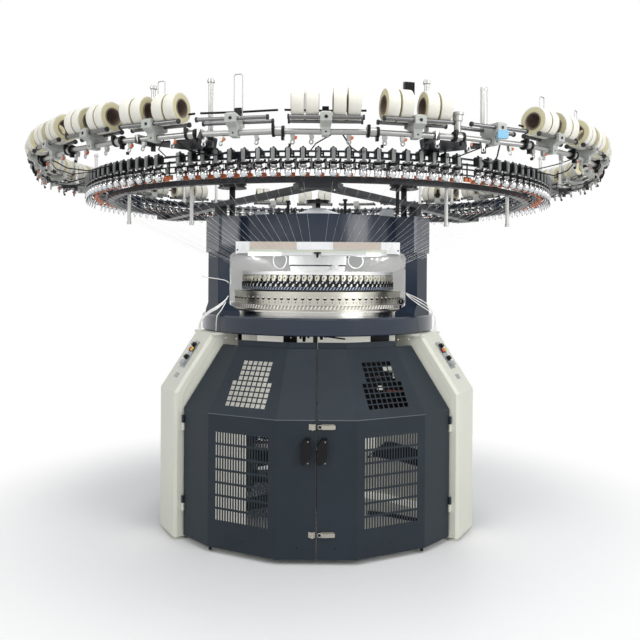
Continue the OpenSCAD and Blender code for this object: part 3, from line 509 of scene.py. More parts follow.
# %% One node tree for every ring of like parts
def ring_tree():
    tree = bpy.data.node_groups.new("ring_array", "GeometryNodeTree")
    keys = {}
    for label, kind in (("Geometry", "Geometry"), ("Template", "Object"), ("Finish", "Material"),
                        ("Wobble", "Float"), ("Seed", "Int")):
        socket = tree.interface.new_socket(name=label, in_out="INPUT", socket_type="NodeSocket" + kind)
        keys[label] = socket.identifier
    tree.interface.new_socket(name="Geometry", in_out="OUTPUT", socket_type="NodeSocketGeometry")
    link = tree.links.new
    given = add(tree, "NodeGroupInput").outputs
    info = add(tree, "GeometryNodeObjectInfo")
    azimuth = add(tree, "GeometryNodeInputNamedAttribute", {"Name": "azimuth"}, data_type="FLOAT")
    chance = add(tree, "FunctionNodeRandomValue", data_type="FLOAT")
    for label, value in (("Min", -1.0), ("Max", 1.0)):
        next(s for s in chance.inputs if s.name == label and s.type == "VALUE").default_value = value
    wobble = add(tree, "ShaderNodeMath", operation="MULTIPLY_ADD")
    turn = add(tree, "ShaderNodeCombineXYZ")
    rotation = add(tree, "FunctionNodeEulerToRotation")
    copies = add(tree, "GeometryNodeInstanceOnPoints")
    real = add(tree, "GeometryNodeRealizeInstances")
    dress = add(tree, "GeometryNodeSetMaterial")
    result = add(tree, "NodeGroupOutput")
    link(given["Template"], info.inputs["Object"])
    link(given["Seed"], chance.inputs["Seed"])
    link(next(s for s in chance.outputs if s.type == "VALUE"), wobble.inputs[0])
    link(given["Wobble"], wobble.inputs[1])
    link(next(s for s in azimuth.outputs if s.type == "VALUE"), wobble.inputs[2])
    link(wobble.outputs[0], turn.inputs["Z"])
    link(turn.outputs[0], rotation.inputs[0])
    link(given["Geometry"], copies.inputs["Points"])
    link(info.outputs["Geometry"], copies.inputs["Instance"])
    link(rotation.outputs[0], copies.inputs["Rotation"])
    link(copies.outputs[0], real.inputs[0])
    link(real.outputs[0], dress.inputs["Geometry"])
    link(given["Finish"], dress.inputs["Material"])
    link(dress.outputs[0], result.inputs[0])
    return tree, keys


RING, RING_KEY = ring_tree()


def ring_piece(name, shape, azimuths, finish_name, wobble=0.0, seed=1, instead_of=()):
    """Copies one shape, drawn at the front, to every azimuth in degrees, as one finished piece."""
    template = show(bpy.data.objects.new(name + "_template", shape.mesh(name + "_template")))
    points = bpy.data.meshes.new(name + "_points")
    points.from_pydata([(0, 0, 0)] * len(azimuths), [], [])
    field = points.attributes.new("azimuth", "FLOAT", "POINT")
    for i, degrees in enumerate(azimuths):
        field.data[i].value = radians(degrees)
    host = show(bpy.data.objects.new(name + "_host", points))
    ring = host.modifiers.new("ring", "NODES")
    ring.node_group = RING
    for label, value in (("Template", template), ("Finish", MAT[finish_name]), ("Wobble", radians(wobble)),
                         ("Seed", seed)):
        ring[RING_KEY[label]] = value
    depsgraph = bpy.context.evaluated_depsgraph_get()
    mesh = bpy.data.meshes.new_from_object(host.evaluated_get(depsgraph))
    mesh.name = name
    for obj in (host, template):
        bpy.data.objects.remove(obj)
    carry(name, mesh, "frame", instead_of)


# %% [markdown]
# ## Bobbins
# Twenty roller units carry four spandex bobbins each.
# The CAD's plain rings give way to wound ones: a soft rim, and on each flat side the yellowish face of the
# winding. The brown card cores stay as the CAD has them.

# %% Bobbins on the roller units
UNITS = 28
UNIT_FROM = 1.0
EMPTY_UNITS = (2, 6, 9, 12, 13, 16, 19, 27)
BOBBIN_R, BOBBIN_W, CORE_R = 0.067, 0.054, 0.04
CREEL_R = 1.7
BOBBIN_Z = 2.2133
BOBBIN_XS = [s * (0.056 + k * 0.06) for s in (-1, 1) for k in (0, 1)]
unit_azimuths = [UNIT_FROM + i * 360 / UNITS for i in range(UNITS)]
loaded = [unit_azimuths[i] for i in range(UNITS) if i not in EMPTY_UNITS]

half = BOBBIN_W / 2
wraps, faces = Shape(), Shape()
for x in BOBBIN_XS:
    middle = along_x(x, -CREEL_R, BOBBIN_Z)
    wraps.lathe([(CORE_R, -half + 0.003), (BOBBIN_R - 0.006, -half + 0.003),
                 (BOBBIN_R - 0.0015, -half + 0.0015), (BOBBIN_R, -half + 0.005), (BOBBIN_R, half - 0.005),
                 (BOBBIN_R - 0.0015, half - 0.0015), (BOBBIN_R - 0.006, half - 0.003),
                 (CORE_R, half - 0.003)], middle, sides=40, closed=True)
    for s in (-1, 1):
        faces.lathe([(CORE_R + 0.001, s * (half - 0.0035)), (CORE_R + 0.001, s * (half - 0.0008)),
                     (BOBBIN_R - 0.007, s * (half - 0.0014)), (BOBBIN_R - 0.006, s * (half - 0.0035))],
                    middle, sides=40, closed=True)
ring_piece("bobbin_wraps", wraps, loaded, "yarn", instead_of=("bobbins",))
ring_piece("bobbin_faces", faces, loaded, "wound_side")

# %% [markdown]
# ## Feeders
# A positive feeder hangs from the rails at each of 126 places.
# From the top: a black clamp block with its nub, a grey arm, a stack of bright discs on the shaft, the
# chromed bulb on which the yarn is stored, and bent wires that lead the yarn away.
# An orange stop lamp hangs on the inner side of each.
# In every gap of the ring a pair of them stands below a black bracket.
# Two thin rails run round behind the feeders, tied by grey stays.

# %% Feeders
FEEDERS = 132
FEEDER_R = 1.4
FEEDER_AT = FEEDER_R + 0.027
feeder_pitch = 360 / FEEDERS
feeder_azimuths = [i * feeder_pitch for i in range(FEEDERS) if i % 22 != 11]

blocks = Shape()
blocks.outline([(-0.015, 2.041), (-0.012, 2.038), (0.012, 2.038), (0.015, 2.041), (0.015, 2.077),
                (0.01, 2.082), (-0.01, 2.082), (-0.015, 2.077)], 0.03, front(FEEDER_AT - 0.001))
blocks.lathe([(0, 2.08), (0.0055, 2.08), (0.0055, 2.087), (0.004, 2.089), (0, 2.089)], front(FEEDER_AT),
             sides=10)
blocks.block((0.019, -FEEDER_AT - 0.006, 2.046), (0.027, -FEEDER_AT + 0.01, 2.066))
blocks.block((0.015, -FEEDER_AT + 0.002, 2.052), (0.0195, -FEEDER_AT + 0.006, 2.06))
ring_piece("feeder_blocks", blocks, feeder_azimuths, "black", wobble=0.05, instead_of=("feeder_spools",))

arms = Shape()
arms.outline([(-0.0065, 2.03), (0.0065, 2.03), (0.0085, 2.04), (0.0085, 2.076), (0.005, 2.08),
              (-0.005, 2.08), (-0.0085, 2.076), (-0.0085, 2.04)], 0.007, front(FEEDER_AT + 0.0175))
arms.block((-0.007, -FEEDER_AT - 0.02, 2.026), (0.007, -FEEDER_AT + 0.006, 2.031))
ring_piece("feeder_arms", arms, feeder_azimuths, "feeder_grey", wobble=0.05)

discs = Shape()
discs.lathe([(0, 2.032), (0.006, 2.032), (0.006, 2.0265), (0.0175, 2.0265), (0.0185, 2.0235),
             (0.0175, 2.0205), (0.0065, 2.0195), (0.0065, 2.0045), (0.0165, 2.0045), (0.0185, 2.001),
             (0.0165, 1.9965), (0.006, 1.9955), (0.006, 1.988), (0, 1.988)], front(FEEDER_AT))
ring_piece("feeder_discs", discs, feeder_azimuths, "spool_metal", wobble=0.05)

bulbs = Shape()
bulbs.lathe([(0, 1.9915), (0.01, 1.9915), (0.016, 1.988), (0.0185, 1.981), (0.019, 1.972), (0.0175, 1.963),
             (0.013, 1.956), (0.008, 1.9525), (0, 1.9525)], front(FEEDER_AT))
ring_piece("feeder_bulbs", bulbs, feeder_azimuths, "chrome", wobble=0.05)

lamps = Shape()
lamps.outline([(-0.004, 1.958), (0.024, 1.958), (0.027, 1.962), (0.027, 1.972), (0.023, 1.976),
               (-0.004, 1.976)], 0.012, front(FEEDER_AT - 0.04))
lamps.block((0.006, -FEEDER_AT + 0.031, 1.972), (0.014, -FEEDER_AT + 0.037, 1.994))
ring_piece("feeder_lamps", lamps, feeder_azimuths, "orange")
end_lamps = Shape()
for x in (-0.012, 0.012):
    end_lamps.outline([(x - 0.009, 1.958), (x + 0.009, 1.958), (x + 0.009, 1.97), (x + 0.005, 1.975),
                       (x - 0.009, 1.975)], 0.014, front(FEEDER_AT))
gap_azimuths = [(11 + 22 * i) * feeder_pitch for i in range(6)]
ring_piece("feeder_end_lamps", end_lamps, gap_azimuths, "orange")
hangers = Shape()
hangers.block((-0.003, -FEEDER_AT + 0.002, 1.97), (0.003, -FEEDER_AT + 0.006, 2.046))
hangers.block((-0.02, -FEEDER_AT - 0.002, 1.974), (0.02, -FEEDER_AT + 0.008, 1.98))
hangers.block((-0.003, -FEEDER_AT + 0.002, 2.04), (0.003, -FEEDER_AT + 0.034, 2.047))
ring_piece("feeder_hangers", hangers, gap_azimuths, "black")

collars = Shape()
collars.lathe([(0.0066, 2.018), (0.0145, 2.018), (0.0155, 2.0155), (0.0145, 2.0085), (0.0066, 2.0065)],
              front(FEEDER_AT), sides=12, closed=True)
collars.outline([(0.012, 2.008), (0.03, 2.016), (0.034, 2.03), (0.026, 2.032), (0.02, 2.022),
                 (0.01, 2.018)], 0.005, front(FEEDER_AT + 0.004))
collars.outline([(-0.024, 1.99), (-0.018, 1.99), (-0.016, 2.012), (-0.022, 2.016), (-0.028, 2.006)], 0.006,
                front(FEEDER_AT + 0.002))
collars.outline([(0.0275, 1.984), (0.0375, 1.984), (0.0365, 1.997), (0.029, 1.997)], 0.01, front(FEEDER_AT))
ring_piece("feeder_middles", collars, feeder_azimuths, "black", wobble=0.12, seed=5)

wires = Shape()
for s in (-1, 1):
    wires.rod([(s * 0.011, -FEEDER_AT - 0.006, 1.957), (s * 0.01, -FEEDER_AT - 0.012, 1.944),
               (s * 0.001, -FEEDER_AT - 0.016, 1.93)], 0.0011, sides=4)
wires.rod([(0.032, -FEEDER_AT, 2.046), (0.033, -FEEDER_AT - 0.004, 1.975),
           (0.02, -FEEDER_AT - 0.008, 1.936)], 0.0012, sides=4)
ring_piece("feeder_wires", wires, feeder_azimuths, "dark", wobble=0.05)

rails = Shape()
for low in (2.019, 1.991):
    rails.lathe(rect(FEEDER_AT - 0.034, FEEDER_AT - 0.03, low, low + 0.007), sides=160, closed=True)
rails.piece("feeder_wire_rails", "dark")
stays = Shape()
stays.block((-0.004, -FEEDER_AT + 0.028, 1.991), (0.004, -FEEDER_AT + 0.034, 2.042))
stays.outline([(-0.006, 1.998), (0.006, 1.998), (0.01, 2.014), (0.004, 2.02), (-0.008, 2.018)], 0.01,
              front(FEEDER_AT - 0.024))
ring_piece("feeder_rail_stays", stays, [a + feeder_pitch / 2 for a in feeder_azimuths], "feeder_grey",
           wobble=0.2, seed=6)

# %% [markdown]
# ## The knitting head
# Each cam sector has an adjuster in its bore: a white half-moon over the upper half of the bore is a
# painted highlight, a black crescent round the lower half and a black disc deep in the bore are painted
# shade, and a small screw sits below it.
# Thin seams part every second pair, and slanted white yarn guides stand side by side on the lip, with
# strips of painted shade in the gaps between them.

# %% Cam ring fittings
SECTORS = 78
CAM_R, LIP_R = 0.535, 0.56
sector = 360 / SECTORS
sectors = [i * sector for i in range(SECTORS)]
HOLE_R, HOLE_Z = 0.0085, 1.371

# Painted highlight: a white half-moon over the upper half of each bore, where the adjuster catches the
# light.
bore_highlight = Shape()
SHADE_CRESCENT_R = 0.0115
arc = [pi * k / 8 for k in range(9)]
bore_highlight.outline([(0.0065 * cos(a), HOLE_Z + 0.0022 + 0.0065 * sin(a)) for a in arc], 0.0014,
              front(CAM_R + 0.0006))
ring_piece("cam_half_moons", bore_highlight, sectors, "white")
# Painted shade: a black crescent round the lower half of each bore and a black disc deep inside it; the
# small black head below is the screw.
bore_shade = Shape()
bore_shade.outline([(-SHADE_CRESCENT_R * cos(a), HOLE_Z + 0.0025 - SHADE_CRESCENT_R * sin(a)) for a in arc], 0.0014,
              front(CAM_R + 0.0007))
bore_shade.lathe(rect(0, HOLE_R - 0.0002, 0.001, 0), along_y(0, -CAM_R + 0.0115, HOLE_Z))
bore_shade.head(along_y(0, -CAM_R - 0.0001, 1.3495), 0.0008, 0.0032, 0.0035, foot=-0.001)
ring_piece("cam_wells", bore_shade, sectors, "black")
screws = Shape()
for x in (-0.014, 0.014):
    screws.head(along_y(x, -CAM_R - 0.0003, 1.342), 0.0012, 0.0022, 0.0026, foot=-0.001, sides=8)
ring_piece("cam_screws", screws, sectors, "steel")
seams = Shape()
seams.block((-0.0007, -CAM_R - 0.0004, 1.3385), (0.0007, -CAM_R + 0.001, 1.398))
ring_piece("cam_seams", seams, [s + sector / 2 for s in sectors[::2]], "brass_and_gap_shade")
teeth = Shape()
for k in range(2):
    lean = at_az((k - 0.5) * sector / 2)
    teeth.outline([(-0.0085, 1.3105), (-0.0015, 1.3105), (0.0085, 1.3335), (0.0015, 1.3335)], 0.003,
                  lean @ front(LIP_R + 0.0012))
ring_piece("cam_guides", teeth, sectors, "white")
# Painted shade: thin brass-toned strips behind the guides, in the gaps between them.
guide_gap_shades = Shape()
for k in range(2):
    lean = at_az((k - 0.5) * sector / 2 + sector / 4)
    guide_gap_shades.outline([(-0.0075, 1.3115), (-0.0035, 1.3115), (0.0065, 1.3325), (0.0025, 1.3325)], 0.001,
                 lean @ front(LIP_R + 0.0003))
ring_piece("cam_guide_gaps", guide_gap_shades, sectors, "brass_and_gap_shade")

# %% [markdown]
# The dial carries three rows: slanted ribs on its lower rail, black yarn carriers with white tips in the
# recess, and cream ceramic eyelets above them, whose mouths and sides are darkened with painted shade.
# Small beads stand along the top edge, on a white rim.

# %% Dial fittings
DIAL_R = 0.483
RECESS_R = DIAL_R - 0.008
ribs = Shape()
for k in range(2):
    ribs.outline([(-0.009, 1.4215), (-0.003, 1.4215), (0.008, 1.4385), (0.002, 1.4385)], 0.002,
                 at_az(k * sector / 2) @ front(DIAL_R + 0.0088))
ring_piece("dial_ribs", ribs, sectors, "pale_blue")

carriers = Shape()
carriers.outline([(-0.014, 1.4405), (-0.004, 1.4405), (0.009, 1.459), (0.01, 1.469), (0.001, 1.469),
                  (-0.012, 1.452)], 0.018, front(RECESS_R + 0.008))
carriers.block((-0.017, -RECESS_R - 0.01, 1.4525), (-0.012, -RECESS_R, 1.4685))
ring_piece("dial_carriers", carriers, sectors, "black", wobble=0.25, seed=4)
tips = Shape()
tips.outline([(0.0045, 1.4405), (0.0125, 1.4405), (0.0185, 1.45), (0.0155, 1.4585), (0.0095, 1.456)], 0.012,
             front(RECESS_R + 0.007))
tips.outline([(-0.011, 1.46), (-0.003, 1.462), (-0.002, 1.469), (-0.01, 1.469)], 0.01,
             front(RECESS_R + 0.009))
ring_piece("dial_tips", tips, sectors, "white", wobble=0.25, seed=9)

eyelets = Shape()
eyelets.outline([(-0.0115, 1.4745), (0.0035, 1.4715), (0.0125, 1.484), (0.0155, 1.5), (0.0075, 1.5095),
                 (-0.0085, 1.5075), (-0.0145, 1.4935)], 0.012, front(RECESS_R + 0.0055))
eyelets.rod([(-0.004 + 0.0065 * cos(a) + 0.003 * sin(a), -RECESS_R - 0.0125, 1.491 + 0.0105 * sin(a))
             for a in circle(14)], 0.0026, sides=6, loop=True)
ring_piece("dial_eyelets", eyelets, sectors, "ceramic", wobble=0.55, seed=2)
# Painted shade: a black oval in each eyelet's hole and a dark sliver beside each eyelet.
eyelet_shades = Shape()
eyelet_shades.outline([(-0.003 + 0.0032 * cos(a) + 0.0025 * sin(a), 1.492 + 0.0075 * sin(a)) for a in circle(12)],
               0.0016, front(RECESS_R + 0.0117))
eyelet_shades.outline([(0.01, 1.4755), (0.015, 1.4785), (0.016, 1.49), (0.013, 1.487)], 0.01,
               front(RECESS_R + 0.0065))
ring_piece("dial_mouths", eyelet_shades, sectors, "black", wobble=0.55, seed=2)
beads = Shape()
beads.lathe([(0, 1.5285), (0.0035, 1.5285), (0.004, 1.533), (0.0025, 1.536), (0, 1.5365)],
            front(DIAL_R - 0.001), sides=8)
ring_piece("dial_beads", beads, [s + sector / 2 for s in sectors], "white")
rim = Shape()
rim.lathe(rect(DIAL_R - 0.004, DIAL_R + 0.0052, 1.511, 1.5305), sides=120, closed=True)
rim.piece("dial_rim", "white")

# %% [markdown]
# Threads run from the feeders within 72 degrees of the front in towards the dial.
# They form one bundle each side of the middle and sag a little.

# %% Threads
THREADS = 26
threads = Shape()
for i in (*range(-THREADS, 0), *range(1, THREADS + 1)):
    start = i * feeder_pitch
    top = polar(start, 1.385, 1.932)
    end = polar(start * 0.72, DIAL_R + 0.006, 1.5)
    sag = 0.01 + 0.004 * sin(i * 2.1)
    threads.rod([top.lerp(end, t) - Vector((0, 0, sag * 4 * t * (1 - t))) for t in (0, 0.25, 0.5, 0.75, 1)],
                0.00045, sides=3)
threads.piece("threads", "thread")

# %% [markdown]
# ## Light bar and dial cover
# The lamp housing across the front carries two tan plates, left bare, two bright lamps below them and
# clear end caps with a white wedge inside.
# A small black bracket hangs from its middle, and a glass edge with a green tint closes it below.

# %% Light bar fittings
BAR_FACE, BAR_LOW = -0.666, 1.616
tan = Shape()
for low, high in ((-0.38, -0.118), (0.086, 0.354)):
    tan.block((low, BAR_FACE - 0.003, 1.653), (high, BAR_FACE + 0.001, 1.6945))
tan.piece("label_plates", "tan")
lit = Shape()
for low, high in ((-0.392, -0.205), (0.272, 0.352)):
    lit.lathe([(0, low), (0.009, low), (0.012, low + 0.004), (0.012, high - 0.004), (0.009, high),
               (0, high)], along_x(0, BAR_FACE + 0.014, 1.627), sides=14)
lit.piece("lamp_tubes", "glow")
edge = Shape()
edge.block((-0.385, BAR_FACE - 0.001, BAR_LOW + 0.024), (0.385, BAR_FACE + 0.003, BAR_LOW + 0.03))
edge.piece("bar_glass_edge", "glass_edge")
bracket = Shape()
bracket.block((-0.02, BAR_FACE - 0.002, 1.629), (0.018, BAR_FACE + 0.012, 1.637))
bracket.outline([(-0.008, 1.63), (-0.006, 1.606), (0.004, 1.606), (0.006, 1.63)], 0.01,
                move(-0.001, BAR_FACE + 0.006, 0))
bracket.piece("bar_bracket", "black")
caps, dots = Shape(), Shape()
for s in (-1, 1):
    caps.outline([(s * 0.392, 1.63), (s * 0.44, 1.63), (s * 0.416, 1.682)], 0.004, front(0.6715))
    dots.head(along_y(s * 0.449, -0.669, 1.648), 0.002, 0.0045, 0.005)
    dots.block((s * 0.419 - 0.032, -0.6705, 1.6245), (s * 0.419 + 0.032, -0.669, 1.6275))
caps.piece("cap_wedges", "white")
dots.piece("cap_dots", "black")

# %% [markdown]
# The white cover under the drum has a dark shadow gap and a small junction box; two white rings of bent
# rod hang beside it to catch loose yarn.
# An oil gauge stands at the right, brass clips hold the shields, and white sensors sit under the drum.

# %% Cover, rings, gauge, clips
cover_low, cover_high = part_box("dial_cover")
gap = Shape()
gap.block((cover_low.x + 0.004, cover_low.y + 0.006, cover_low.z - 0.007),
          (cover_low.x + 0.228, cover_low.y + 0.03, cover_low.z - 0.0005))
gap.block((cover_high.x - 0.046, cover_low.y + 0.006, cover_low.z - 0.007),
          (cover_high.x - 0.004, cover_low.y + 0.03, cover_low.z - 0.0005))
gap.block((cover_high.x + 0.002, cover_low.y + 0.012, cover_high.z - 0.034),
          (cover_high.x + 0.01, cover_low.y + 0.02, cover_high.z))
gap.piece("cover_shadow_strip", "dark")
lower = Shape()
lower.outline([(-0.154, 1.5305), (0.154, 1.5305), (0.16, 1.5385), (0.16, 1.5625), (-0.16, 1.5625),
               (-0.16, 1.5385)], 0.16, move(0, cover_low.y + 0.0905, 0))
lower.piece("cover_lower", "white")
junction = Shape()
junction.outline([(-0.021, -0.012), (0.021, -0.012), (0.021, 0.006), (0.01, 0.013), (-0.01, 0.013),
                  (-0.021, 0.006)], 0.034, move(0.104, -0.47, 1.5575))
junction.head(along_y(0.104, -0.487, 1.5585), 0.006, 0.005, 0.006)
junction.piece("cover_junction_box", "white")

hoops = Shape()
for x, y, wide, tall, turn in ((-0.223, -0.437, 0.047, 0.05, -32), (0.224, -0.44, 0.044, 0.044, 6)):
    spin = move(x, y, 1.596) @ at_az(turn)
    hoops.rod([spin @ Vector((wide * cos(a), 0, tall * sin(a))) for a in circle(28)], 0.0034, sides=6,
              loop=True)
hoops.piece("yarn_hoops", "lamp")

gauge, dial_face = Shape(), Shape()
gauge.lathe([(0, 0), (0.021, 0), (0.0235, 0.004), (0.0235, 0.016), (0.021, 0.019), (0.0175, 0.0195),
             (0.0165, 0.016), (0, 0.016)], along_y(0.505, -0.326, 1.353), sides=28)
gauge.block((0.499, -0.33, 1.3), (0.511, -0.322, 1.335))
gauge.piece("oil_gauge", "black")
dial_face.rod([(0.505 + 0.0195 * cos(a), -0.3455, 1.353 + 0.0195 * sin(a)) for a in circle(24)], 0.0012,
              sides=5, loop=True)
dial_face.block((0.504, -0.3433, 1.346), (0.506, -0.3425, 1.364))
dial_face.piece("oil_gauge_ring", "white")

clips = Shape()
for x, y, z in ((-0.558, -0.252, 1.577), (0.54, -0.3, 1.563)):
    clips.block((x - 0.007, y - 0.012, z - 0.015), (x + 0.007, y + 0.006, z + 0.015),
                Matrix.Rotation(radians(12), 4, "Y"))
clips.piece("shield_clips", "brass_and_gap_shade")
sensors = Shape()
for x, y, z in ((-0.512, -0.352, 1.64), (-0.452, -0.43, 1.641), (0.512, -0.352, 1.64),
                (0.455, -0.428, 1.641)):
    sensors.lathe([(0, -0.01), (0.008, -0.01), (0.01, -0.004), (0.01, 0.004), (0, 0.004)], move(x, y, z),
                  sides=12)
sensors.piece("drum_sensors", "white")

# %% [markdown]
# Thin white oil lines leave the lubricator, run down beside the shield, bend round each front column and
# dive behind the leg flange.

# %% Oil lines
lines = Shape()


def bend(points, radius=0.003):
    """A smooth line through given points (Catmull-Rom), as one bent rod."""
    p = [Vector(points[0])] + [Vector(q) for q in points] + [Vector(points[-1])]
    path = []
    for i in range(1, len(p) - 2):
        for t in (0, 0.25, 0.5, 0.75):
            path.append(0.5 * ((2 * p[i]) + (p[i + 1] - p[i - 1]) * t
                               + (2 * p[i - 1] - 5 * p[i] + 4 * p[i + 1] - p[i + 2]) * t ** 2
                               + (3 * p[i] - p[i - 1] - 3 * p[i + 1] + p[i + 2]) * t ** 3))
    path.append(p[-1])
    lines.rod(path, radius, sides=6)


for k in range(3):
    low = -0.007 * k
    bend([(-0.524, -0.372, 1.5 - 0.01 * k), (-0.531, -0.385, 1.4),
          (-0.545 - 0.003 * k, -0.421, 1.362 + low), (-0.592, -0.462, 1.322 + low),
          (-0.64, -0.448, 1.294 + low), (-0.69, -0.425, 1.245 + low), (-0.712 + 0.01 * k, -0.4, 1.178)])
bend([(-0.7, -0.33, 1.5), (-0.668, -0.425, 1.494), (-0.6, -0.466, 1.486), (-0.545, -0.425, 1.474),
      (-0.524, -0.372, 1.45)], 0.0025)
bend([(-0.545, -0.424, 1.345), (-0.566, -0.462, 1.3), (-0.59, -0.47, 1.262), (-0.596, -0.462, 1.178)],
     0.0025)
for k in range(3):
    low = -0.016 * k
    bend([(0.524, -0.372, 1.41), (0.545, -0.424, 1.398 + low / 2), (0.596, -0.464, 1.374 + low),
          (0.655, -0.442, 1.336 + low), (0.7, -0.412, 1.262), (0.712 - 0.01 * k, -0.392, 1.178)], 0.0026)
lines.piece("oil_lines", "thread")

# %% [markdown]
# ## Cabinet
# The leaves get the seam bead, a rolled edge along the shoulder that is painted lighter than the leaves as
# a highlight, a folded rail on top, black screws near the floor and bright ones on the handles; each piece
# opens with its own leaf.

# %% Door trim
DOOR_Y, SHOULDER_Z, DOOR_TOP_Z = -0.951, 0.754, 1.102
TOP_K = (0.951 - 0.225) / 0.951
corner_1, corner_2 = (0.21, -0.951), (0.59, -0.775)

seam = Shape()
seam.block((-0.0075, DOOR_Y - 0.0018, 0.034), (0.0004, DOOR_Y + 0.0005, SHOULDER_Z - 0.002))
seam.rod([(-0.003, DOOR_Y - 0.001, SHOULDER_Z), (-0.003, DOOR_Y * TOP_K - 0.001, DOOR_TOP_Z - 0.002)],
         0.0028, sides=6)
seam.piece("seam_bead", "rubber", body="left_door")

for side, body in ((-1, "left_door"), (1, "right_door")):
    label = "left" if side < 0 else "right"
    # The rolled edge is a real rod; its lighter colour is a painted highlight along the shoulder.
    highlight_rod = Shape()
    highlight_rod.rod([(side * 0.0065, DOOR_Y - 0.0006, SHOULDER_Z + 0.001),
                   (side * corner_1[0], DOOR_Y - 0.0006, SHOULDER_Z + 0.001),
                   (side * corner_2[0], corner_2[1] - 0.001, SHOULDER_Z + 0.001)], 0.0022, sides=6)
    highlight_rod.piece("shoulder_edge_" + label, "slate_edge_highlight", body=body)
    rail = Shape()
    tops = [Vector((side * x * TOP_K, y * TOP_K, 0)) for x, y in ((0.004, DOOR_Y), corner_1, corner_2)]
    for a, b in zip(tops, tops[1:]):
        along = b - a
        turn = Matrix.Rotation(atan2(along.y, along.x), 4, "Z")
        rail.outline(rect(0, along.length, DOOR_TOP_Z - 0.004, 1.137), 0.006,
                     Matrix.Translation(a + Vector((0, 0.01, 0))) @ turn)
    rail.piece("top_rail_" + label, "slate", body=body)
    bits = Shape()
    for x in (0.1, 0.395):
        # how far the screw lies along the second panel, from the first corner to the second
        near = min(max((x - corner_1[0]) / (corner_2[0] - corner_1[0]), 0), 1)
        y = DOOR_Y + near * (corner_2[1] - DOOR_Y)
        bits.head(along_y(side * x, y - 0.0002, 0.092), 0.0016, 0.0035, 0.0045, low=0.0003)
    bits.block((side * 0.575 - 0.008, -0.775, 0.012), (side * 0.575 + 0.008, -0.755, 0.0315))
    bits.piece("door_bits_" + label, "black", body=body)
    handle_screws = Shape()
    for x, z in ((0.0445, 0.65), (0.0445, 0.54)):
        handle_screws.head(along_y(side * x, DOOR_Y - 0.0318, z), 0.002, 0.003, 0.004, low=0.0004)
    handle_screws.piece("handle_screws_" + label, "stainless", body=body)

# %% [markdown]
# The control strips are dressed on the legs' leaning face: black rotary knobs with a white pointer, a red
# stop button beside a yellow one, a grey end block, and a grey plate further down.

# %% Control strips
LEG_R, LEG_TOP_R, BEND_Z, BED_Z = 1.006, 0.78, 0.84, 1.17
KNOB_X, KNOB_R = 0.008, 0.013
face_lean = atan2(LEG_R - LEG_TOP_R, BED_Z - BEND_Z)


def on_leg_face(azimuth, k):
    """A frame on a leg's leaning face: x across, -y out of the face, z up the slope."""
    foot = front(LEG_R + k * (LEG_TOP_R - LEG_R), BEND_Z + k * (BED_Z - BEND_Z))
    return at_az(azimuth) @ foot @ Matrix.Rotation(-face_lean, 4, "X")


def knob(shape, place):
    shape.lathe([(0, 0.02), (KNOB_R * 0.8, 0.02), (KNOB_R, 0.017), (KNOB_R, 0.006), (KNOB_R * 1.25, 0.004),
                 (KNOB_R * 1.25, 0), (0, 0)], place, sides=20)


blacks, marks, reds, yellows, greys = Shape(), Shape(), Shape(), Shape(), Shape()
for azimuth in (-60, 60):
    strip = on_leg_face(azimuth, 0.6)
    for z in (-0.024, 0.06):
        knob(blacks, strip @ along_y(KNOB_X, -0.007, z))
        marks.outline(rect(-0.0014, 0.0014, 0, 0.0095), 0.001, strip @ move(KNOB_X, -0.0275, z))
    for offset, target in ((-0.017, reds), (0.017, yellows)):
        target.outline(rect(-0.011, 0.011, -0.011, 0.011), 0.009,
                       strip @ move(KNOB_X + offset, -0.0135, 0.03))
        blacks.outline(rect(-0.014, 0.014, -0.014, 0.014), 0.004,
                       strip @ move(KNOB_X + offset, -0.009, 0.03))
    greys.outline(rect(-0.024, 0.024, -0.014, 0.014), 0.014, strip @ move(KNOB_X, -0.014, -0.062))
    extra = on_leg_face(azimuth, 0.244)
    greys.outline(rect(-0.025, 0.025, -0.015, 0.015), 0.003, extra @ move(0.004, -0.0015, 0))
blacks.piece("control_knobs", "black", instead_of=("control_buttons",))
marks.piece("knob_marks", "white")
reds.piece("stop_buttons", "red")
yellows.piece("start_buttons", "yellow")
greys.piece("control_end_blocks", "plate_grey")

# %% [markdown]
# ## Inside the cabinet
# The vents and grilles show what is mounted behind the leaves: two pale oil and lint boxes on the left; on
# the right a black switch box with its terminals, and a box with a hose, a bracket and a cable, coloured as
# the same cream at about half brightness for painted shade.
# Each is a folded sheet box with a rolled rim; the upper two hang from the bed ring, the lower two stand
# on feet. All of them stay outside the circle in which the take-down frame turns.

# %% Boxes behind the leaves
BOX_FACE, LOW_LEFT_FACE, LOW_RIGHT_FACE = -0.574, -0.504, -0.524
BED_UNDER = 1.1695


def sheet_box(shape, points, face, depth):
    """A box with the given outline in x and z; its front face lies at y = face and carries a rolled rim."""
    shape.outline(points, depth, move(0, face + depth / 2, 0))
    shape.rod([(x, face - 0.001, z) for x, z in points], 0.0045, loop=True)


covers, shaded_in, dark_in, bright_in, marks_in = Shape(), Shape(), Shape(), Shape(), Shape()
sheet_box(covers, [(-0.56, 0.69), (-0.215, 0.69), (-0.215, 1.075), (-0.43, 1.075), (-0.56, 0.86)],
          BOX_FACE, 0.04)
sheet_box(covers, rect(-0.64, -0.412, 0.05, 0.64), LOW_LEFT_FACE, 0.08)
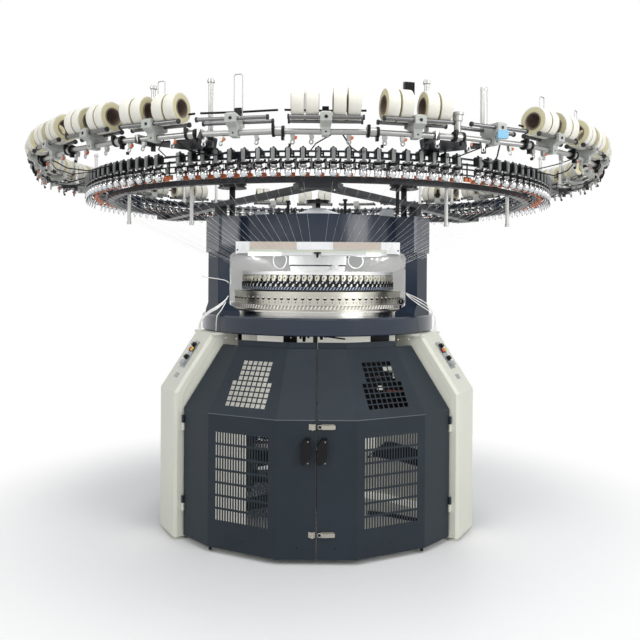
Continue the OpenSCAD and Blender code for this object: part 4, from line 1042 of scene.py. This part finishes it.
# The lower right box carries the cream at about half brightness, as painted shade.
sheet_box(shaded_in, rect(0.265, 0.62, 0.03, 0.63), LOW_RIGHT_FACE, 0.04)
sheet_box(dark_in, [(0.24, 0.69), (0.56, 0.69), (0.56, 0.86), (0.43, 1.075), (0.24, 1.075)], BOX_FACE, 0.04)
for x in (-0.385, -0.26, 0.275, 0.375):
    dark_in.block((x - 0.014, BOX_FACE + 0.004, 1.06), (x + 0.014, BOX_FACE + 0.036, BED_UNDER))
for x, y in ((-0.62, -0.47), (-0.44, -0.47), (0.29, -0.505), (0.595, -0.505)):
    dark_in.block((x - 0.014, y - 0.014, 0.0005), (x + 0.014, y + 0.014, 0.055))
dark_in.outline([(0.29, 0.455), (0.4, 0.548), (0.44, 0.548), (0.6, 0.5), (0.6, 0.405), (0.47, 0.44),
                 (0.34, 0.462)], 0.016, move(0, LOW_RIGHT_FACE - 0.008, 0))
dark_in.rod([(0.3, LOW_RIGHT_FACE - 0.012, 0.14), (0.42, LOW_RIGHT_FACE - 0.014, 0.128),
             (0.6, LOW_RIGHT_FACE - 0.012, 0.095)], 0.012, sides=10)
covers.rod([(0.278, LOW_RIGHT_FACE - 0.02, 0.246), (0.4, LOW_RIGHT_FACE - 0.022, 0.232),
            (0.602, LOW_RIGHT_FACE - 0.02, 0.18)], 0.019, sides=14)
covers.block((0.275, LOW_RIGHT_FACE - 0.014, 0.505), (0.338, LOW_RIGHT_FACE, 0.615))
for x, z, wide, tall in ((0.405, 0.975, 0.06, 0.03), (0.36, 0.868, 0.03, 0.022), (0.352, 0.728, 0.07, 0.02),
                         (0.44, 0.95, 0.012, 0.05)):
    covers.block((x - wide / 2, BOX_FACE - 0.014, z - tall / 2), (x + wide / 2, BOX_FACE, z + tall / 2))
for x, z, wide in ((0.385, 0.722, 0.024), (0.35, 0.93, 0.024), (0.442, 0.849, 0.095)):
    marks_in.block((x - wide / 2, BOX_FACE - 0.012, z - 0.007), (x + wide / 2, BOX_FACE, z + 0.007))
screw_places = {
    LOW_RIGHT_FACE - 0.016: ((0.318, 0.47), (0.42, 0.52), (0.58, 0.45)),
    LOW_LEFT_FACE: ((-0.62, 0.61), (-0.43, 0.61)),
    BOX_FACE: ((-0.54, 0.71), (-0.235, 0.71), (-0.235, 1.055), (0.26, 0.71), (0.54, 0.71),
               (0.26, 1.055)),
}
for face, places in screw_places.items():
    for x, z in places:
        bright_in.head(along_y(x, face, z), 0.004, 0.007, 0.009, low=0.001, foot=-0.001, sides=12)

# %% [markdown]
# Between the leaves and the bed ring a narrow gap shows pale shields and dark blocks that hang from the
# ring.

# %% Behind the gap
GAP_Y = -0.585
for low_x, high_x in ((-0.342, -0.193), (-0.115, -0.023), (0.002, 0.304)):
    covers.block((low_x, GAP_Y, 1.085), (high_x, GAP_Y + 0.003, BED_UNDER))
# The strips at the ends of the gap carry the cream at about half brightness, as painted shade.
for low_x, high_x in ((-0.43, -0.342), (0.41, 0.445)):
    shaded_in.block((low_x, GAP_Y + 0.001, 1.085), (high_x, GAP_Y + 0.005, BED_UNDER))
for low_x, high_x, near in ((-0.193, -0.115, -0.592), (-0.023, 0.002, -0.7), (0.304, 0.41, -0.592)):
    dark_in.block((low_x, near, 1.11), (high_x, -0.576, BED_UNDER))
for x, wide, tall in ((-0.095, 0.016, 0.024), (-0.075, 0.024, 0.04), (-0.05, 0.016, 0.02),
                      (0.024, 0.022, 0.028), (0.046, 0.018, 0.016)):
    dark_in.outline([(x - wide / 2, BED_UNDER), (x + wide / 2, BED_UNDER), (x + wide / 3, BED_UNDER - tall),
                     (x - wide / 3, BED_UNDER - tall)], 0.01, move(0, GAP_Y - 0.007, 0))
dark_in.rod([(0.052, GAP_Y - 0.011, 1.16), (0.16, GAP_Y - 0.013, 1.146)], 0.0045)
bright_in.head(along_y(-0.15, -0.592, 1.152), 0.002, 0.004, 0.005)
for s in (-1, 1):
    for x in (0.455, 0.52):
        bright_in.head(along_y(s * x, -0.64 + (x - 0.455) * 0.6, 1.15), 0.004, 0.005, 0.006)
covers.piece("inner_covers", "inner")
shaded_in.piece("inner_covers_grey", "inner_shaded")
dark_in.piece("inner_blocks", "black")
marks_in.piece("inner_marks", "orange")
bright_in.piece("inner_screws", "stainless")

# %% [markdown]
# ## Overhead ring fittings
# Every coupling of the creel shaft carries a black clamp; steel eyelets hang from the shaft, every second
# one with an orange catch and every third with a black weight.
# Black screws sit on the housings, rubber ends on the rollers, and some units carry a black axle rod.
# Short cables run from every second unit in to the feeder ring.

# %% Creel fittings
CREEL_Z = 2.097
clamp_azimuths = [a + 180 / UNITS for a in unit_azimuths]
corner_r = CREEL_R / cos(pi / UNITS)
clamps = Shape()
for x in (-0.02, 0.02):
    clamps.lathe([(0.0125, -0.006), (0.0225, -0.006), (0.0235, -0.003), (0.0235, 0.003), (0.0225, 0.006),
                  (0.0125, 0.006)], along_x(x, -corner_r, CREEL_Z), sides=14, closed=True)
clamps.block((-0.026, -corner_r - 0.026, CREEL_Z + 0.004), (-0.014, -corner_r - 0.006, CREEL_Z + 0.026))
clamps.block((0.012, -corner_r - 0.01, CREEL_Z - 0.036), (0.024, -corner_r + 0.01, CREEL_Z - 0.012))
ring_piece("coupling_clamps", clamps, clamp_azimuths, "black", wobble=0.1, seed=3)

EYELET_OFFS = (-4.6, -2.0, 3.2)
eyelet_azimuths = [a + off for a in unit_azimuths for off in EYELET_OFFS]
stems, weights, catches = Shape(), Shape(), Shape()
stems.outline([(-0.01, CREEL_Z - 0.012), (0.01, CREEL_Z - 0.012), (0.012, CREEL_Z - 0.024),
               (0.004, CREEL_Z - 0.036), (-0.006, CREEL_Z - 0.034)], 0.014, front(CREEL_R))
stems.rod([(0.0075 * cos(a), -CREEL_R - 0.006, CREEL_Z - 0.043 + 0.0085 * sin(a)) for a in circle(12)],
          0.0032, sides=6, loop=True)
ring_piece("creel_eyelets", stems, eyelet_azimuths, "shaft")
catches.outline([(0.006, CREEL_Z - 0.034), (0.018, CREEL_Z - 0.03), (0.02, CREEL_Z - 0.02),
                 (0.01, CREEL_Z - 0.018)], 0.01, front(CREEL_R + 0.004))
ring_piece("creel_catches", catches, eyelet_azimuths[::2], "orange")
weights.block((-0.016, -CREEL_R - 0.01, CREEL_Z - 0.062), (-0.006, -CREEL_R, CREEL_Z - 0.05))
ring_piece("creel_weights", weights, eyelet_azimuths[::3], "black")

housing_bits = Shape()
housing_bits.head(along_y(0, -CREEL_R - 0.0602, CREEL_Z + 0.05), 0.003, 0.006, 0.007, low=0.0005, sides=12)
housing_bits.head(along_y(0, -CREEL_R - 0.0245, CREEL_Z - 0.004), 0.002, 0.0035, 0.004)
ring_piece("housing_screws", housing_bits, unit_azimuths, "black")

ROLLER_Z, ROLLER_OFF = 2.149, 0.04
ends = Shape()
for s in (-1, 1):
    for k in (-1, 1):
        ends.lathe([(0, s * 0.1575), (0.0105, s * 0.1575), (0.0115, s * 0.1555), (0.0115, s * 0.1495),
                    (0.0087, s * 0.1495)], along_x(0, -CREEL_R + k * ROLLER_OFF, ROLLER_Z), sides=12)
ring_piece("roller_ends", ends, unit_azimuths, "rubber")

cables = Shape()
cables.rod([(0, -CREEL_R + 0.01, CREEL_Z - 0.01), (0.04, -CREEL_R + 0.07, CREEL_Z - 0.05),
            (0.095, -CREEL_R + 0.16, CREEL_Z - 0.062), (0.12, -CREEL_R + 0.262, CREEL_Z - 0.03)], 0.0035,
           sides=6)
cables.rod([(-0.05, -CREEL_R + 0.01, CREEL_Z - 0.01), (-0.11, -CREEL_R + 0.06, CREEL_Z - 0.038),
            (-0.13, -CREEL_R + 0.15, CREEL_Z - 0.055), (-0.09, -CREEL_R + 0.262, CREEL_Z - 0.034)], 0.0028,
           sides=6)
ring_piece("creel_cables", cables, unit_azimuths[::2], "black", wobble=4.0, seed=21)

axles = Shape()
for s in (-1, 1):
    axles.rod([(s * 0.01, -CREEL_R + 0.052, 2.196), (s * 0.172, -CREEL_R + 0.052, 2.198)], 0.0048)
axles.block((-0.014, -CREEL_R + 0.04, 2.182), (0.014, -CREEL_R + 0.064, 2.212))
axles.block((-0.006, -CREEL_R + 0.046, CREEL_Z + 0.072), (0.006, -CREEL_R + 0.058, 2.184))
ring_piece("axle_rods", axles, [unit_azimuths[i] for i in (0, 3, 4, 8, 11, 18, 22, 25, 26, 27)], "black")

# %% [markdown]
# The posts end in caps, with a collar at their foot.
# A few single fittings stand in fixed places on the right: a ribbed plate on its carrier, a bright knob
# beside a sleeved post, and a light-blue sensor.

# %% Posts and single fittings
PLATE_AZ, SPREAD, POST_R, POST_TOP = 22.2, 5.3, 1.61, 2.3575
RIBS_AZ = 13.4
post_azimuths = [s * a + t for a in (PLATE_AZ, 120 - PLATE_AZ, 120 + PLATE_AZ) for s in (-1, 1)
                 for t in (-SPREAD, SPREAD)]
caps = Shape()
caps.lathe([(0, POST_TOP), (0.012, POST_TOP), (0.0125, 2.352), (0.017, 2.35), (0.017, 2.34),
            (0.0112, 2.338), (0.0112, 2.32), (0.0112, 2.318), (0, 2.318)], front(POST_R), sides=14)
caps.lathe(rect(0.0112, 0.019, 2.13, 2.108), front(POST_R), sides=14, closed=True)
ring_piece("post_caps", caps, post_azimuths, "post")

singles, sensor, fins, carrier = Shape(), Shape(), Shape(), Shape()
singles.lathe([(0, 2.206), (0.02, 2.206), (0.027, 2.203), (0.027, 2.194), (0.022, 2.19), (0.022, 2.168),
               (0.016, 2.164), (0.016, 2.12), (0, 2.12)], at_az(20.4) @ front(1.7), sides=20)
singles.lathe([(0, POST_TOP), (0.015, POST_TOP), (0.0165, 2.354), (0.0165, 2.15), (0, 2.15)],
              at_az(PLATE_AZ + SPREAD) @ front(POST_R), sides=20)
singles.piece("creel_knob", "post")
sensor.block((0.768, -1.592, 2.098), (0.812, -1.56, 2.132))
sensor.piece("creel_sensor", "sky")
for k in range(7):
    fins.block((-0.022 + k * 0.0063, -1.668, 2.272), (-0.022 + k * 0.0063 + 0.004, -1.652, 2.326))
carrier.block((-0.026, -1.654, 2.268), (0.024, -1.648, 2.33))
carrier.block((-0.018, -1.652, 2.13), (0.022, -1.644, 2.27))
for shape in (fins, carrier):
    bmesh.ops.transform(shape.bm, matrix=at_az(RIBS_AZ), verts=shape.bm.verts)
fins.piece("cooling_ribs", "black")
carrier.piece("cooling_carrier", "plate_grey")

# %% [markdown]
# Tubes and rods hang from the support ring, and the top of the drum carries a few boxes and upright rods.
# Bolts hold the arms at both ends.

# %% Under the ring
SUPPORT_R, SUPPORT_Z = 1.3, 1.943
TABLE_TOP = 1.86
hang = Shape()
for azimuth, low in ((-54.1, 1.793), (-29.4, 1.765), (29.9, 1.765), (54.3, 1.793)):
    hang.rod([polar(azimuth, SUPPORT_R - 0.024, low), polar(azimuth, SUPPORT_R - 0.024, SUPPORT_Z + 0.02)],
             0.0095, sides=12)
    hang.rod([polar(azimuth, SUPPORT_R - 0.024, low - 0.012),
              polar(azimuth, SUPPORT_R - 0.024, low + 0.004)], 0.012, sides=12)
hang.piece("hanging_tubes", "post")
dark_rods = Shape()
ROD_FOOT = TABLE_TOP - 0.002
for azimuth, radius, low, high in ((17.4, 1.276, 1.8, SUPPORT_Z + 0.01), (16.2, 0.56, ROD_FOOT, 1.945),
                                   (-18.0, 0.56, ROD_FOOT, 1.935), (-140, 0.52, ROD_FOOT, 1.95),
                                   (140, 0.52, ROD_FOOT, 1.94)):
    dark_rods.rod([polar(azimuth, radius, low), polar(azimuth, radius, high)], 0.009, sides=10)
    dark_rods.rod([polar(azimuth, radius, high - 0.006), polar(azimuth, radius, high + 0.004)], 0.014,
                  sides=10)
half_box = Vector((0.03, 0.03, 0))
for azimuth in (-150, -90, -30, 30, 90, 150):
    dark_rods.block(polar(azimuth, 0.46, TABLE_TOP - 0.001) - half_box,
                    polar(azimuth, 0.46, TABLE_TOP + 0.022) + half_box)
dark_rods.piece("drum_rods", "black")
drum_box = Shape()
drum_box.outline([(-0.042, 0), (0.042, 0), (0.042, 0.036), (0.032, 0.046), (-0.032, 0.046),
                  (-0.042, 0.036)], 0.06, move(0.415, -0.36, TABLE_TOP))
drum_box.outline(rect(-0.03, 0.03, 0, 0.02), 0.05, move(-0.34, -0.42, TABLE_TOP))
drum_box.piece("drum_boxes", "plate_grey")

bolts = Shape()
for azimuth in (-60, 60, 180):
    for side in (-1, 1):
        spot = Matrix.Translation(polar(azimuth + side * 3.2, 0.662, 0))
        bolts.lathe([(0, 1.9505), (0.008, 1.9505), (0.009, 1.948), (0.009, 1.943), (0, 1.943)], spot,
                    sides=8)
for azimuth in (0, 120, -120):
    for side in (-1, 1):
        spot = Matrix.Translation(polar(azimuth + side * 3.4, 1.268, 0))
        bolts.head(spot, 1.9135, 0.01, 0.012, low=1.915, foot=1.915)
        bolts.lathe(rect(0, 0.0055, 1.9085, 1.914), spot, sides=8)
bolts.piece("arm_bolts", "stainless")
